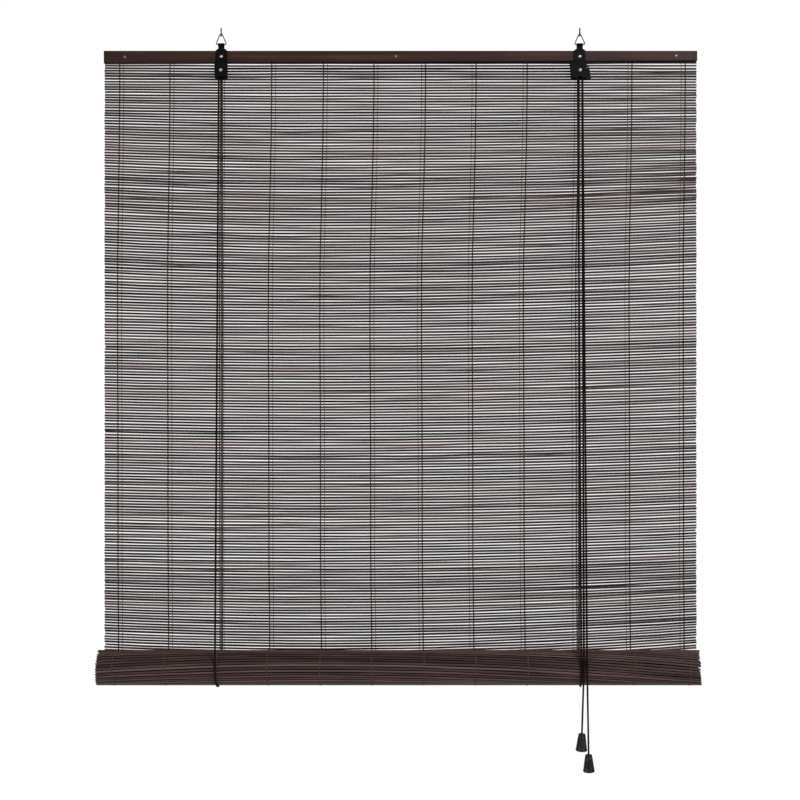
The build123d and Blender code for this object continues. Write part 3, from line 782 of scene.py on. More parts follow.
@dataclass
class BambooMat:
    """Bowed bamboo strips tied by warp threads, hanging at first and then wound into the roll.

    A strip whose middle is at distance s along the mat lies at s - bow(s) * (u - u0)^2 plus a small
    wander, with u from -1 at the left end to 1 at the right one, and u0 the bow's centre. The bow
    has one table for the part left of u0 and another for the part right of it.

    The tables whose names end in _at are distances along the mat in millimetres, and their partners
    hold a value for each. The rows, their tilts and their ends are scattered by normal draws. On the
    roll an end steps in by three amounts: the same all round, at the top, and at the front.
    """

    finishes: Palette
    winding: Winding
    lift: Lift
    half_width: float = 450.0 * MM
    roll_left: float = -454.6 * MM
    roll_right: float = 451.0 * MM
    pitch: float = 4.18 * MM
    strip_height: float = 3.22 * MM
    wound_height: float = 2.85 * MM
    strip_depth: float = 1.1 * MM
    top_z: float = -40.0 * MM
    bow_centre: float = -0.28
    bow_at: tuple[float, ...] = (-919.6, -866.0, -780.0, -689.0, -598.0, -507.0, -234.0, -144.0, -62.0,
                                 84.0, 700.0)
    bow_left_mm: tuple[float, ...] = (0.0, 4.5, 12.0, 17.0, 15.5, 8.0, 7.5, 7.5, 13.0, 19.5, 22.0)
    bow_right_mm: tuple[float, ...] = (0.0, 0.7, 3.8, 8.6, 9.5, 7.2, 7.8, 8.3, 11.8, 17.0, 20.0)
    thread_first: float = -429.8 * MM
    thread_pitch: float = 78.15 * MM
    thread_count: int = 12
    thread_shift: float = 6.0 * MM
    front_thread_r: float = 0.88 * MM
    back_thread_r: float = 0.42 * MM
    front_flatness: float = 0.40
    back_flatness: float = 0.75
    thread_start_mm: tuple[float, ...] = (3.1, 1.3, 0.2, -0.4, 0.1, -1.2, -1.0, -2.4, -2.9, -2.3, -0.1, 2.8)
    thread_lean_mm: tuple[float, ...] = (3.2, 3.6, 1.5, 5.2, 5.5, 6.2, 6.3, 6.1, 5.8, 5.0, 4.3, 3.1)
    lean_at: tuple[float, ...] = (-919.6, -876.0, -797.0, -705.0, -614.0, -523.0, -341.0, -158.0, -70.0,
                                  0.0)
    lean_share: tuple[float, ...] = (0.0, 0.0, 0.16, 0.52, 0.92, 1.0, 0.84, 0.80, 0.62, 0.5)
    thread_sway: float = 0.10 * MM
    roll_thread_end: float = 170.0 * MM
    roll_thread_spread: float = 1.7
    hanging_rows: int = 219
    first_row: float = 0.6
    row_scatter: float = 0.10 * MM
    tilt_scatter: float = 0.15 * MM
    wave_count: int = 26
    own_wander: float = 0.11 * MM
    shortest: float = 4.0 * MM
    end_scatter: float = 0.5 * MM
    roll_end_scatter: float = 0.32 * MM
    outer_turn: float = 172.0 * MM
    inner_step: float = 0.5 * MM
    step_left_mm: tuple[float, float, float] = (0.5, 0.9, 1.1)
    step_right_mm: tuple[float, float, float] = (0.6, 1.8, 5.4)
    # Painted light and shade by place along the mat: painted shade on the backlit hanging part, painted
    # light on the roll's outer turn, deepest painted shade on its inner turns.
    tone_at: tuple[float, ...] = (-30.0, 40.0, 155.0, 175.0)
    painted_shade_level: tuple[float, ...] = (-0.42, 0.10, 0.10, -0.60)
    tone_width: tuple[float, ...] = (1.0, 1.15, 1.15, 0.35)
    seed: int = 5
    waves: Array = field(init=False)
    middles: Array = field(init=False)
    tilts: Array = field(init=False)

    def __post_init__(self) -> None:
        """Draws the strips' places and the long waves that make the gaps open and close."""
        rng = np.random.default_rng(self.seed)
        wound = int((self.winding.length - self.pitch) / self.pitch)
        count = self.hanging_rows + wound
        start = self.winding.axis_z - self.top_z
        even = start + self.first_row * self.pitch + self.pitch * np.arange(count)
        self.middles = even + rng.normal(0.0, self.row_scatter, count)
        self.tilts = rng.normal(0.0, self.tilt_scatter, count)
        along, down = rng.uniform(6.0, 44.0, self.wave_count), rng.uniform(-420.0, 420.0, self.wave_count)
        phase = rng.uniform(0.0, 2 * np.pi, self.wave_count)
        amount = rng.uniform(0.02, 0.08, self.wave_count) * MM
        self.waves = np.stack([along, down, phase, amount])

    def bow(self, middle: Array, climbs_mm: tuple[float, ...]) -> Array:
        """How far a strip climbs towards one end: none at the rail, and most on the roll."""
        return np.interp(middle, np.array(self.bow_at) * MM, np.array(climbs_mm) * MM)

    def wander(self, x: Array, middle: Array) -> Array:
        """Sums amount * sin(along * x + down * middle + phase), and adds each strip's own two waves."""
        along, down, phase, amount = self.waves
        angle = x[..., None] * along + middle[..., None] * down + phase
        own = np.sin(x * 17.0 + middle * 9100.0) + 0.7 * np.sin(x * 31.0 + middle * 5300.0)
        return (np.sin(angle) * amount).sum(axis=-1) + self.own_wander * own

    def distance(self, x: Array, middle: Array, tilt: Array) -> Array:
        """Distance along the mat of points of the strips, by the class's formula."""
        u = x / self.half_width
        bow = np.where(u < self.bow_centre, self.bow(middle, self.bow_left_mm),
                       self.bow(middle, self.bow_right_mm))
        return middle - bow * (u - self.bow_centre) ** 2 + self.wander(x, middle) + tilt * u

    def bends(self, middle: Array) -> tuple[Array, Array]:
        """Where each strip crosses the line between hanging and wound: -1 and 1 outside the mat."""
        left_reach, right_reach = (
            np.sqrt(np.maximum(middle, 0.0) / np.maximum(self.bow(middle, climbs), 1e-9))
            for climbs in (self.bow_left_mm, self.bow_right_mm))
        left = np.clip(self.bow_centre - left_reach, -1.0, 1.0)
        right = np.clip(self.bow_centre + right_reach, -1.0, 1.0)
        return left * self.half_width, right * self.half_width

    def strip_rings(self, rows: Array, left: Array, right: Array, count: int, seed: int,
                    height: float) -> Array:
        """Rings of the strips named by rows, between their own left and right ends.

        Each ring is the place plus a * (along the mat) + b * (outwards), where (a, b) run round a
        half-round section; its height swells and thins along the strip.

        Args:
            rows: Indices of strips.
            left: Left end of each.
            right: Right end of each.
            count: Rings in a strip.
            seed: Draws the swelling.
            height: The strips' width along the mat.

        Returns:
            Points of shape (strips, count, 6, 3).
        """
        rng = np.random.default_rng(seed)
        share = np.linspace(0.0, 1.0, count)
        x = left[:, None] + (right - left)[:, None] * share
        middle = np.broadcast_to(self.middles[rows][:, None], x.shape)
        distance = self.distance(x, middle, self.tilts[rows][:, None])
        place, out = self.winding.place(distance)
        along = np.stack([out[..., 1], -out[..., 0]], axis=-1)
        a = np.array([-0.5, -0.27, 0.27, 0.5, 0.25, -0.25])
        b = np.array([0.0, 0.5, 0.5, 0.0, -0.5, -0.5])
        swell = rng.uniform(0.90, 1.08, (len(rows), 1)) * rng.uniform(0.94, 1.06, x.shape)
        rings = np.empty((*x.shape, 6, 3))
        rings[..., 0] = x[..., None]
        flat = (height * swell[..., None, None] * a[:, None] * along[..., None, :]
                + self.strip_depth * b[:, None] * out[..., None, :])
        rings[..., 1:] = place[..., None, :] + flat
        return rings

    def tones_and_shade(self, rows: Array, count: int, seed: int) -> Array:
        """A random tone for each strip, drifting a little along it, plus painted light and shade by place:
        painted shade deepens the backlit hanging part, painted light makes the roll's outer turn paler, and
        the deepest painted shade falls inside the roll."""
        rng = np.random.default_rng(seed)
        base = rng.beta(1.6, 1.8, (len(self.middles), 1, 1))
        # Painted light and shade by place: darker hanging part, paler outer turn, darkest inner turns.
        level = np.interp(self.middles, np.array(self.tone_at) * MM, self.painted_shade_level)[:, None, None]
        width = np.interp(self.middles, np.array(self.tone_at) * MM, self.tone_width)[:, None, None]
        drift = rng.normal(0.0, 0.07, (len(rows), count, 1))
        tone_and_shade = (base * width + level)[rows] + drift
        return np.broadcast_to(np.clip(tone_and_shade, -0.7, 1.3), (len(rows), count, 6))

    def hanging(self) -> bpy.types.Object:
        """Strips from the rail to the back of the roll, and the raised ends of those that start there."""
        rng = np.random.default_rng(21)
        cut_left, cut_right = self.bends(self.middles)
        edge = self.half_width - np.abs(rng.normal(0.0, self.end_scatter, (2, len(self.middles))))
        whole = np.flatnonzero(self.middles < 0)
        wound = np.flatnonzero(self.middles >= 0)
        lefts = wound[cut_left[wound] > -edge[0][wound] + self.shortest]
        rights = wound[cut_right[wound] < edge[1][wound] - self.shortest]
        rows = np.concatenate([whole, lefts, rights])
        left = np.concatenate([-edge[0][whole], -edge[0][lefts], cut_right[rights]])
        right = np.concatenate([edge[1][whole], cut_left[lefts], edge[1][rights]])
        rings = self.strip_rings(rows, left, right, 17, 22, self.strip_height)
        mesh = strips_mesh("mat_strips", rings)
        point_values(mesh, "tone_and_shade", self.tones_and_shade(rows, 17, 31))
        piece = add_piece(mesh, self.finishes.bamboo, "headrail", crease=80.0)
        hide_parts("mat_slats")
        return piece

    def step_in(self, end_at: Array, shares_mm: tuple[float, float, float]) -> Array:
        """How far in from the roll's end each strip stops: evenly, and more at the top and the front."""
        even, top, front = shares_mm
        out = self.winding.place(end_at)[1]
        return MM * (even + top * out[..., 1] + front * np.maximum(-out[..., 0], 0.0))

    def wound(self) -> bpy.types.Object:
        """Strips of the roll, whose ends step in towards the top and the front."""
        rng = np.random.default_rng(23)
        rows = np.flatnonzero(self.middles >= 0)
        middle = self.middles[rows]
        cut_left, cut_right = self.bends(middle)
        scatter = rng.normal(0.0, self.roll_end_scatter, (2, len(rows)))
        ends = np.array([[-self.half_width], [self.half_width]])
        end_at = self.distance(ends, np.broadcast_to(middle, (2, len(rows))), self.tilts[rows][None])
        inner = self.inner_step * (end_at > self.outer_turn)
        left = self.roll_left + inner[0] + self.step_in(end_at[0], self.step_left_mm) + scatter[0]
        right = (self.roll_right - inner[1] - self.step_in(end_at[1], self.step_right_mm)
                 + 0.6 * scatter[1])
        left = np.where(cut_left > -self.half_width + self.shortest, cut_left, left)
        right = np.where(cut_right < self.half_width - self.shortest, cut_right, right)
        rings = self.strip_rings(rows, left, right, 23, 24, self.wound_height)
        mesh = strips_mesh("roll_strips", rings)
        point_values(mesh, "tone_and_shade", self.tones_and_shade(rows, 23, 31))
        piece = add_piece(mesh, self.finishes.bamboo, "roll", crease=80.0)
        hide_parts("roll_turns")
        return piece

    def thread_places(self, shift: float, distance: Array) -> Array:
        """Where along X each thread lies: its start, less a lean that follows the distance along the mat.

        A thread that is shifted inwards on the hanging part comes back out under the roll.
        """
        x = self.thread_first + self.thread_pitch * np.arange(self.thread_count)
        inwards = np.sign(x)[:, None] * shift * np.interp(distance, (0.0, 55 * MM), (1.0, 0.0))
        lean = np.array(self.thread_lean_mm) * MM
        leaning = lean[:, None] * np.interp(distance, np.array(self.lean_at) * MM, self.lean_share)
        return (x + np.array(self.thread_start_mm) * MM)[:, None] - inwards - leaning

    def thread_rings(self, face: float, low: float, high: float, spread: float = 1.0) -> Array:
        """Rings of one flattened thread at every station, over each strip and dipping between strips.

        The offset outwards is face * (half a strip's depth + three eighths of the thread's) on a
        strip, and a share of that in a gap.

        Args:
            face: One for the mat's back, minus one for its front.
            low: Where along the mat it starts.
            high: Where it ends.
            spread: How much wider than usual it lies, at the same thickness.

        Returns:
            Points of shape (threads, points, 4, 3).
        """
        shift, radius, flatness = ((0.0, self.front_thread_r, self.front_flatness) if face < 0
                                   else (self.thread_shift, self.back_thread_r, self.back_flatness))
        radius, flatness = radius * spread, flatness / spread
        before, after, in_gap = 4 * MM, 30 * MM, 0.4
        rows = np.flatnonzero((self.middles > low - before) & (self.middles < high + after))
        x = self.thread_places(shift, self.middles[rows])
        crossing = self.distance(x, np.broadcast_to(self.middles[rows], x.shape), self.tilts[rows][None])
        distance = np.empty((len(x), 2 * len(rows) - 1))
        across = np.empty(distance.shape)
        for whole, part in ((distance, crossing), (across, x)):
            whole[:, 0::2] = part
            whole[:, 1::2] = 0.5 * (part[:, :-1] + part[:, 1:])
        distance = np.clip(distance, low, high)
        place, out = self.winding.place(distance)
        share = np.full(distance.shape[1], in_gap)
        share[0::2] = 1.0
        reach = self.strip_depth * 0.5 + 0.75 * radius * flatness
        yz = place + (face * reach * share)[None, :, None] * out
        sway = np.random.default_rng(41).normal(0.0, self.thread_sway, distance.shape)
        path = np.concatenate([(across + sway)[..., None], yz], axis=-1)
        return np.stack([tube_rings(line, radius, around=4, flatten=flatness) for line in path])

    def threads(self) -> None:
        """Front and back threads of the hanging part, and the back ones round the roll's outer turns."""
        low, high = self.winding.axis_z - self.top_z, 0.0
        rings = np.concatenate([self.thread_rings(-1.0, low, high), self.thread_rings(1.0, low, high)])
        hanging = add_piece(strips_mesh("mat_threads", rings), self.finishes.thread, "headrail",
                            crease=100.0)
        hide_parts("warp_threads")
        turns = strips_mesh("roll_threads",
                            self.thread_rings(1.0, 0.0, self.roll_thread_end, self.roll_thread_spread))
        add_piece(turns, self.finishes.worn_thread, "roll", crease=100.0)
        self.shorten(hanging)

    def shorten(self, piece: bpy.types.Object) -> None:
        """Hands a hanging piece, with the rail's height and the roll's axis, to the lift, which only gives
        it a mesh of its own.
        """
        axis_z = self.winding.axis_z
        self.lift.shorten(piece, (self.top_z, self.top_z), (axis_z, axis_z + self.lift.travel))

    def build(self) -> None:
        """Makes the mat, the roll and their threads."""
        self.shorten(self.hanging())
        self.wound()
        self.threads()


# ---- Cords ---------------------------------------------------------------------------


@dataclass(frozen=True)
class Bulge:
    """A small knot in a cord: the cord swells by a share round one height."""

    z: float
    share: float = 0.85
    reach: float = 1.7 * MM


@dataclass(frozen=True)
class Facts:
    """What a run of cord is: its far end, its lay and its stiffness."""

    far_end: str = "object"
    lay: str = "taut"
    stiffness: str = "limp"


@dataclass
class Cordage:
    """The two lifting cords: from their knots behind the rail, under the roll, over the wheels and down
    to the tassels.

    Each run is a piece of its own, because the runs move in different ways. The cord's line goes round
    the wheels at line_r and round the roll at sling_r, and it comes out of the brackets at leave_z.
    """

    finishes: Palette
    winding: Winding
    lift: Lift
    diameter: float = 2.3 * MM
    fluff: float = 1.2
    hook_x: float = 271.5 * MM
    axle_z: float = -60.2 * MM
    leave_z: float = -73.2 * MM
    line_r: float = 3.6 * MM
    sling_r: float = 28.35 * MM
    sling_leg: float = 24.0 * MM
    anchor_z: float = -50.0 * MM
    anchor_r: float = 2.6 * MM
    plate_y: float = 14.22 * MM
    groove_y: dict[Side, float] = field(
        default_factory=lambda: {Side.LEFT: -0.1 * MM, Side.RIGHT: -3.3 * MM})
    knot_z: dict[Side, float] = field(
        default_factory=lambda: {Side.LEFT: -154.0 * MM, Side.RIGHT: -125.0 * MM})
    sling_reach: float = 6.5 * MM
    lead_diameters: int = 6
    pulled_tight: float = 0.84
    roll_gap: float = 0.15 * MM
    corner_turn: float = 18.0

    @property
    def sling_back_y(self) -> float:
        """The cord's line behind the mat."""
        return self.winding.axis_y + self.sling_r

    def route(self, name: str, points: list[Point]) -> Array:
        """The line of a smooth spline whose control points are the route's.

        Args:
            name: A name for the spline.
            points: The route's points.

        Returns:
            The points of its line.
        """
        data = bpy.data.curves.new(name, "CURVE")
        data.dimensions = "3D"
        spline = data.splines.new("NURBS")
        spline.points.add(len(points) - 1)
        spline.points.foreach_set("co", np.array([(*p, 1.0) for p in points], np.float32).reshape(-1))
        spline.order_u = 3
        spline.use_endpoint_u = True
        spline.resolution_u = 8
        curve = bpy.data.objects.new(name, data)
        bpy.context.scene.collection.objects.link(curve)
        line = bpy.data.meshes.new_from_object(curve)
        path = np.empty(len(line.vertices) * 3, np.float32)
        line.vertices.foreach_get("co", path)
        bpy.data.objects.remove(curve)
        bpy.data.meshes.remove(line)
        bpy.data.curves.remove(data)
        return path.reshape(-1, 3).astype(float)

    def braid(self, name: str, path: Array, body: str | None, replaced: list[str],
              bulge: Bulge | None = None, scale: float = 1.0) -> bpy.types.Object:
        """A round cord along a line, with its plait's UV map.

        Args:
            name: The piece's name.
            path: Points of its line.
            body: What it rides on, or None for none.
            replaced: Construction nodes that it stands for.
            bulge: A small knot in it, if it has one.
            scale: Share of the cord's own thickness.

        Returns:
            The piece.
        """
        if bulge is not None:
            close = bulge.z + bulge.reach * np.linspace(-2.5, 2.5, 21)
            heights = np.sort(np.concatenate([path[:, 2], close]))[::-1]
            upwards = path[np.argsort(path[:, 2])]
            path = np.stack([np.interp(heights, upwards[:, 2], line) for line in upwards.T], -1)
        radius = np.full(len(path), self.diameter / 2 * self.fluff * scale)
        if bulge is not None:
            radius *= 1 + bulge.share * np.exp(-((path[:, 2] - bulge.z) / bulge.reach) ** 2)
        around = 10
        rings = tube_rings(path, 1.0, across=self.across(path), around=around)
        rings = path[:, None] + (rings - path[:, None]) * radius[:, None, None]
        mesh = strips_mesh(name, rings[None])
        run = np.concatenate([[0.0], np.cumsum(np.linalg.norm(np.diff(path, axis=0), axis=1))]) / MM
        self.map_plait(mesh, run, around)
        piece = add_piece(mesh, self.finishes.cord, body, crease=70.0)
        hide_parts(*replaced)
        return piece

    def across(self, path: Array) -> Point:
        """A direction square enough to the whole of a line."""
        span = np.ptp(path, axis=0)
        return tuple(float(v) for v in np.eye(3)[int(np.argmin(span))])

    def map_plait(self, mesh: bpy.types.Mesh, run: Array, around: int) -> None:
        """UV map of a cord: u is the share round it and v the distance along it in millimetres."""
        layer = mesh.uv_layers.new(name="braid")
        loops = np.empty(len(mesh.loops), np.int32)
        mesh.loops.foreach_get("vertex_index", loops)
        starts = np.empty(len(mesh.polygons), np.int32)
        totals = np.empty(len(mesh.polygons), np.int32)
        mesh.polygons.foreach_get("loop_start", starts)
        mesh.polygons.foreach_get("loop_total", totals)
        u = (loops % around) / around
        v = run[loops // around]
        face = np.repeat(np.arange(len(starts)), totals)
        has_first = np.zeros(len(starts), bool)
        has_last = np.zeros(len(starts), bool)
        np.logical_or.at(has_first, face, loops % around == 0)
        np.logical_or.at(has_last, face, loops % around == around - 1)
        seam = (has_first & has_last & (totals == 4))[face]
        u = np.where(seam & (loops % around == 0), 1.0, u)
        layer.data.foreach_set("uv", np.stack([u, v], axis=-1).astype(np.float32).reshape(-1))

    def declare(self, piece: bpy.types.Object, path: Array, facts: Facts,
                with_pieces: tuple[bpy.types.Object | str, ...] = ()) -> None:
        """Measures a run of cord's length and keeps nothing of it."""
        length = float(np.linalg.norm(np.diff(path, axis=0), axis=1).sum())

    def straight(self, start: Point, end: Point) -> list[Point]:
        """Control points of a taut run: its ends, and a point a few diameters from each."""
        first, last = np.asarray(start, float), np.asarray(end, float)
        step = unit((last - first)[None])[0] * self.lead_diameters * self.diameter
        return [tuple(first), tuple(first + step), tuple(last - step), tuple(last)]

    def knot(self, name: str, place: Point, along: Point, size: float, body: str,
             replaced: str) -> bpy.types.Object:
        """An overhand knot pulled tight: the cord follows a trefoil flattened along its own line.

        In the knot's frame it is r * (sin t + 2 sin 2t, cos t - 2 cos 2t, -1.5 sin 3t).

        Args:
            name: The piece's name.
            place: Its middle.
            along: The line of the cord through it.
            size: Its width.
            body: What it rides on.
            replaced: The construction node that it stands for.

        Returns:
            The piece.
        """
        axis = unit(np.asarray(along, float)[None])[0]
        u = unit(np.cross(axis, (1.0, 0.3, 0.2))[None])[0]
        v = np.cross(axis, u)
        t = np.linspace(0.0, 2 * np.pi, 19)[:-1]
        radius = (size / 2 - 0.42 * self.diameter) / 3
        flat = (np.sin(t) + 2 * np.sin(2 * t))[:, None] * u + (np.cos(t) - 2 * np.cos(2 * t))[:, None] * v
        points = np.asarray(place, float) + radius * (flat - 1.5 * np.sin(3 * t)[:, None] * axis)
        points = np.concatenate([points, points[:1]])
        path = self.route(name, [tuple(p) for p in points])
        return self.braid(name, path, body, [replaced], scale=self.pulled_tight)

    def back(self, side: Side) -> None:
        """The knot behind the rail and the run behind the mat, down to the sling."""
        x, y = side.sign * self.hook_x, self.sling_back_y
        name = f"{side.value}_cord"
        bend_z = self.anchor_z - self.anchor_r
        through = self.route(name, [
            (x, y, bend_z), (x, y, self.anchor_z - 0.8 * MM), (x, y + 0.9 * MM, self.anchor_z),
            (x, self.plate_y + 1.0 * MM, self.anchor_z)])
        end = self.braid(f"{name}_through_rail", through, "headrail", [f"{name}_end"])
        knot = self.knot(f"{name}_tied", (x, self.plate_y + 2.3 * MM, self.anchor_z), (0.0, 1.0, 0.0),
                         5.8 * MM, "headrail", f"{name}_knot")
        foot_z = self.winding.axis_z + self.sling_leg
        path = self.route(name, self.straight((x, y, bend_z), (x, y, foot_z)))
        run = self.braid(f"{name}_behind_mat", path, "headrail", [f"{name}_back_strand"],
                         Bulge(self.knot_z[side]))
        self.declare(run, path, Facts(), (end, knot))
        self.lift.shorten(run, (bend_z, bend_z), (foot_z, foot_z + self.lift.travel))

    def sling_points(self, side: Side) -> list[Point]:
        """Route under the roll: corners that close round it, on a plane turned a little about Z."""
        x = side.sign * self.hook_x
        skew = math.atan2(self.line_r, 2 * self.sling_r)
        radius = self.sling_r / math.cos(skew)
        middle = np.array([x - self.line_r / 2, self.winding.axis_y, self.winding.axis_z])
        back = np.array([math.sin(skew), math.cos(skew), 0.0])
        up = np.array([0.0, 0.0, 1.0])
        turn = math.radians(180.0 + self.lean(side))
        corners = 6
        angle = -(np.arange(corners) + 0.5) * turn / corners
        reach = radius / math.cos(turn / corners / 2)
        under = middle + reach * (np.cos(angle)[:, None] * back + np.sin(angle)[:, None] * up)
        leg = [middle + radius * back + h * up for h in (self.sling_leg, 8 * MM)]
        return [tuple(p) for p in leg] + [tuple(p) for p in under]

    def lean(self, side: Side) -> float:
        """Degrees above the roll's front where the cord from the wheel touches the sling's circle."""
        dy = self.groove_y[side] - self.winding.axis_y
        dz = self.axle_z - self.winding.axis_z
        reach = math.hypot(dy, dz)
        return 180.0 - math.degrees(math.atan2(dz, dy) + math.acos(self.sling_r / reach))

    def touch(self, side: Side) -> Array:
        """Where the cord from the wheel meets the sling."""
        angle = math.radians(180.0 - self.lean(side))
        x = side.sign * self.hook_x - self.line_r
        return np.array([x, self.winding.axis_y + self.sling_r * math.cos(angle),
                         self.winding.axis_z + self.sling_r * math.sin(angle)])

    def sling(self, side: Side) -> None:
        """The run under the roll, which goes up with it."""
        start = np.array([side.sign * self.hook_x - self.line_r, self.groove_y[side], self.axle_z])
        touch = self.touch(side)
        top = touch + unit((start - touch)[None])[0] * self.sling_reach
        name = f"{side.value}_cord_under_roll"
        path = self.route(name, self.sling_points(side) + [tuple(touch), tuple(top)])
        run = self.braid(name, path, "lift", [f"{side.value}_cord_sling"])
        self.declare(run, path, Facts())
        self.upper(side, f"{side.value}_cord_front", start, top, self.sling_reach,
                   f"{side.value}_cord_front_strand")

    def leaving(self, start: Array, foot: Array) -> Array:
        """Where a taut run comes out under the bracket's foot."""
        return start + (self.leave_z - start[2]) / (foot[2] - start[2]) * (foot - start)

    def partings(self, side: Side, start: Array, reach: float) -> list[tuple[float, float]]:
        """(y, z) of the corners of the cord's line round the raised roll.

        The line leaves start for the raised roll, touches it at the angle of start plus the arc cosine
        of radius over distance, and closes round it in equal corners to the last one, which is reach
        above the place where the cord touches the roll at rest.

        Args:
            side: Which cord's groove it comes from.
            start: Where the line starts.
            reach: How far above the touch the run ends.

        Returns:
            The corners, from the top down, without the run's own end.
        """
        centre = np.array([self.winding.axis_y, self.winding.axis_z + self.lift.travel])
        radius = self.sling_r + self.roll_gap
        away = start[1:] - centre
        first = math.degrees(math.atan2(away[1], away[0]) + math.acos(radius / np.hypot(*away)))
        last = 180.0 - self.lean(side) - 2 * math.degrees(math.atan(reach / radius))
        count = max(1, round((last - first) / self.corner_turn))
        half = (last - first) / count / 2
        angle = np.radians(first + half * (2 * np.arange(count) + 1))
        outwards = np.stack([np.cos(angle), np.sin(angle)], -1)
        corners = centre + radius / math.cos(math.radians(half)) * outwards
        return [tuple(corner) for corner in corners]

    def upper(self, side: Side, name: str, start: Array, foot: Array, reach: float, node: str) -> None:
        """A taut run from below a wheel to the roll's front, parted at the corners of its line round the
        raised roll.

        Args:
            side: Which cord's groove it comes from.
            name: The pieces' name.
            start: Its upper end, which stays.
            foot: Its lower end.
            reach: How far its lower end is above the touch.
            node: The construction node that it stands for.
        """
        out = self.leaving(start, foot)
        ends = [(out, out[2])]
        for y, lifted in self.partings(side, out, reach):
            share = (y - start[1]) / (foot[1] - start[1])
            ends.append((start + share * (foot - start), lifted))
        ends.append((foot, foot[2] + self.lift.travel))
        for number, ((first, first_lifted), (last, last_lifted)) in enumerate(zip(ends, ends[1:]), 1):
            label = f"{name}_{number}"
            path = self.route(label, self.straight(tuple(first), tuple(last)))
            piece = self.braid(label, path, "headrail", [node])
            self.declare(piece, path, Facts())
            self.lift.shorten(piece, (first[2], first_lifted), (last[2], last_lifted))

    def over_wheels(self, pull_foot: dict[Side, Array]) -> None:
        """The left cord over both wheels and along the rail, and the right cord over the lock's wheel.

        Args:
            pull_foot: Where each pull cord's upper run ends, which sets the way that it leaves.
        """
        reach = self.line_r / math.cos(math.pi / 8)
        low, half = self.line_r * math.tan(math.pi / 8), reach * math.sin(math.pi / 8)
        hook, r, z = self.hook_x, self.line_r, self.axle_z
        near = self.lead_diameters * self.diameter
        for side in Side:
            y = self.groove_y[side]
            wheel = side.sign * hook
            start, end = np.array([wheel - r, y, z]), np.array([hook + r, y, z])
            rise = [tuple(self.leaving(start, self.touch(side))), tuple(start),
                    (wheel - r, y, z + low), (wheel - half, y, z + r)]
            across = [] if side is Side.RIGHT else [
                (half - hook, y, z + r), (near - hook, y, z + r), (hook - near, y, z + r),
                (hook - half, y, z + r)]
            fall = [(hook + half, y, z + r), (hook + r, y, z + low), tuple(end),
                    tuple(self.leaving(end, pull_foot[side]))]
            name, node = (("left_cord_along_rail", "left_cord_across") if side is Side.LEFT
                          else ("right_cord_round_wheel", "right_cord_over_wheel"))
            path = self.route(name, rise + across + fall)
            run = self.braid(name, path, "headrail", [node])
            self.declare(run, path, Facts())

    def build(self) -> None:
        """Makes every run of both cords but the ones over the wheels and the ones to the tassels."""
        for side in Side:
            self.back(side)
            self.sling(side)


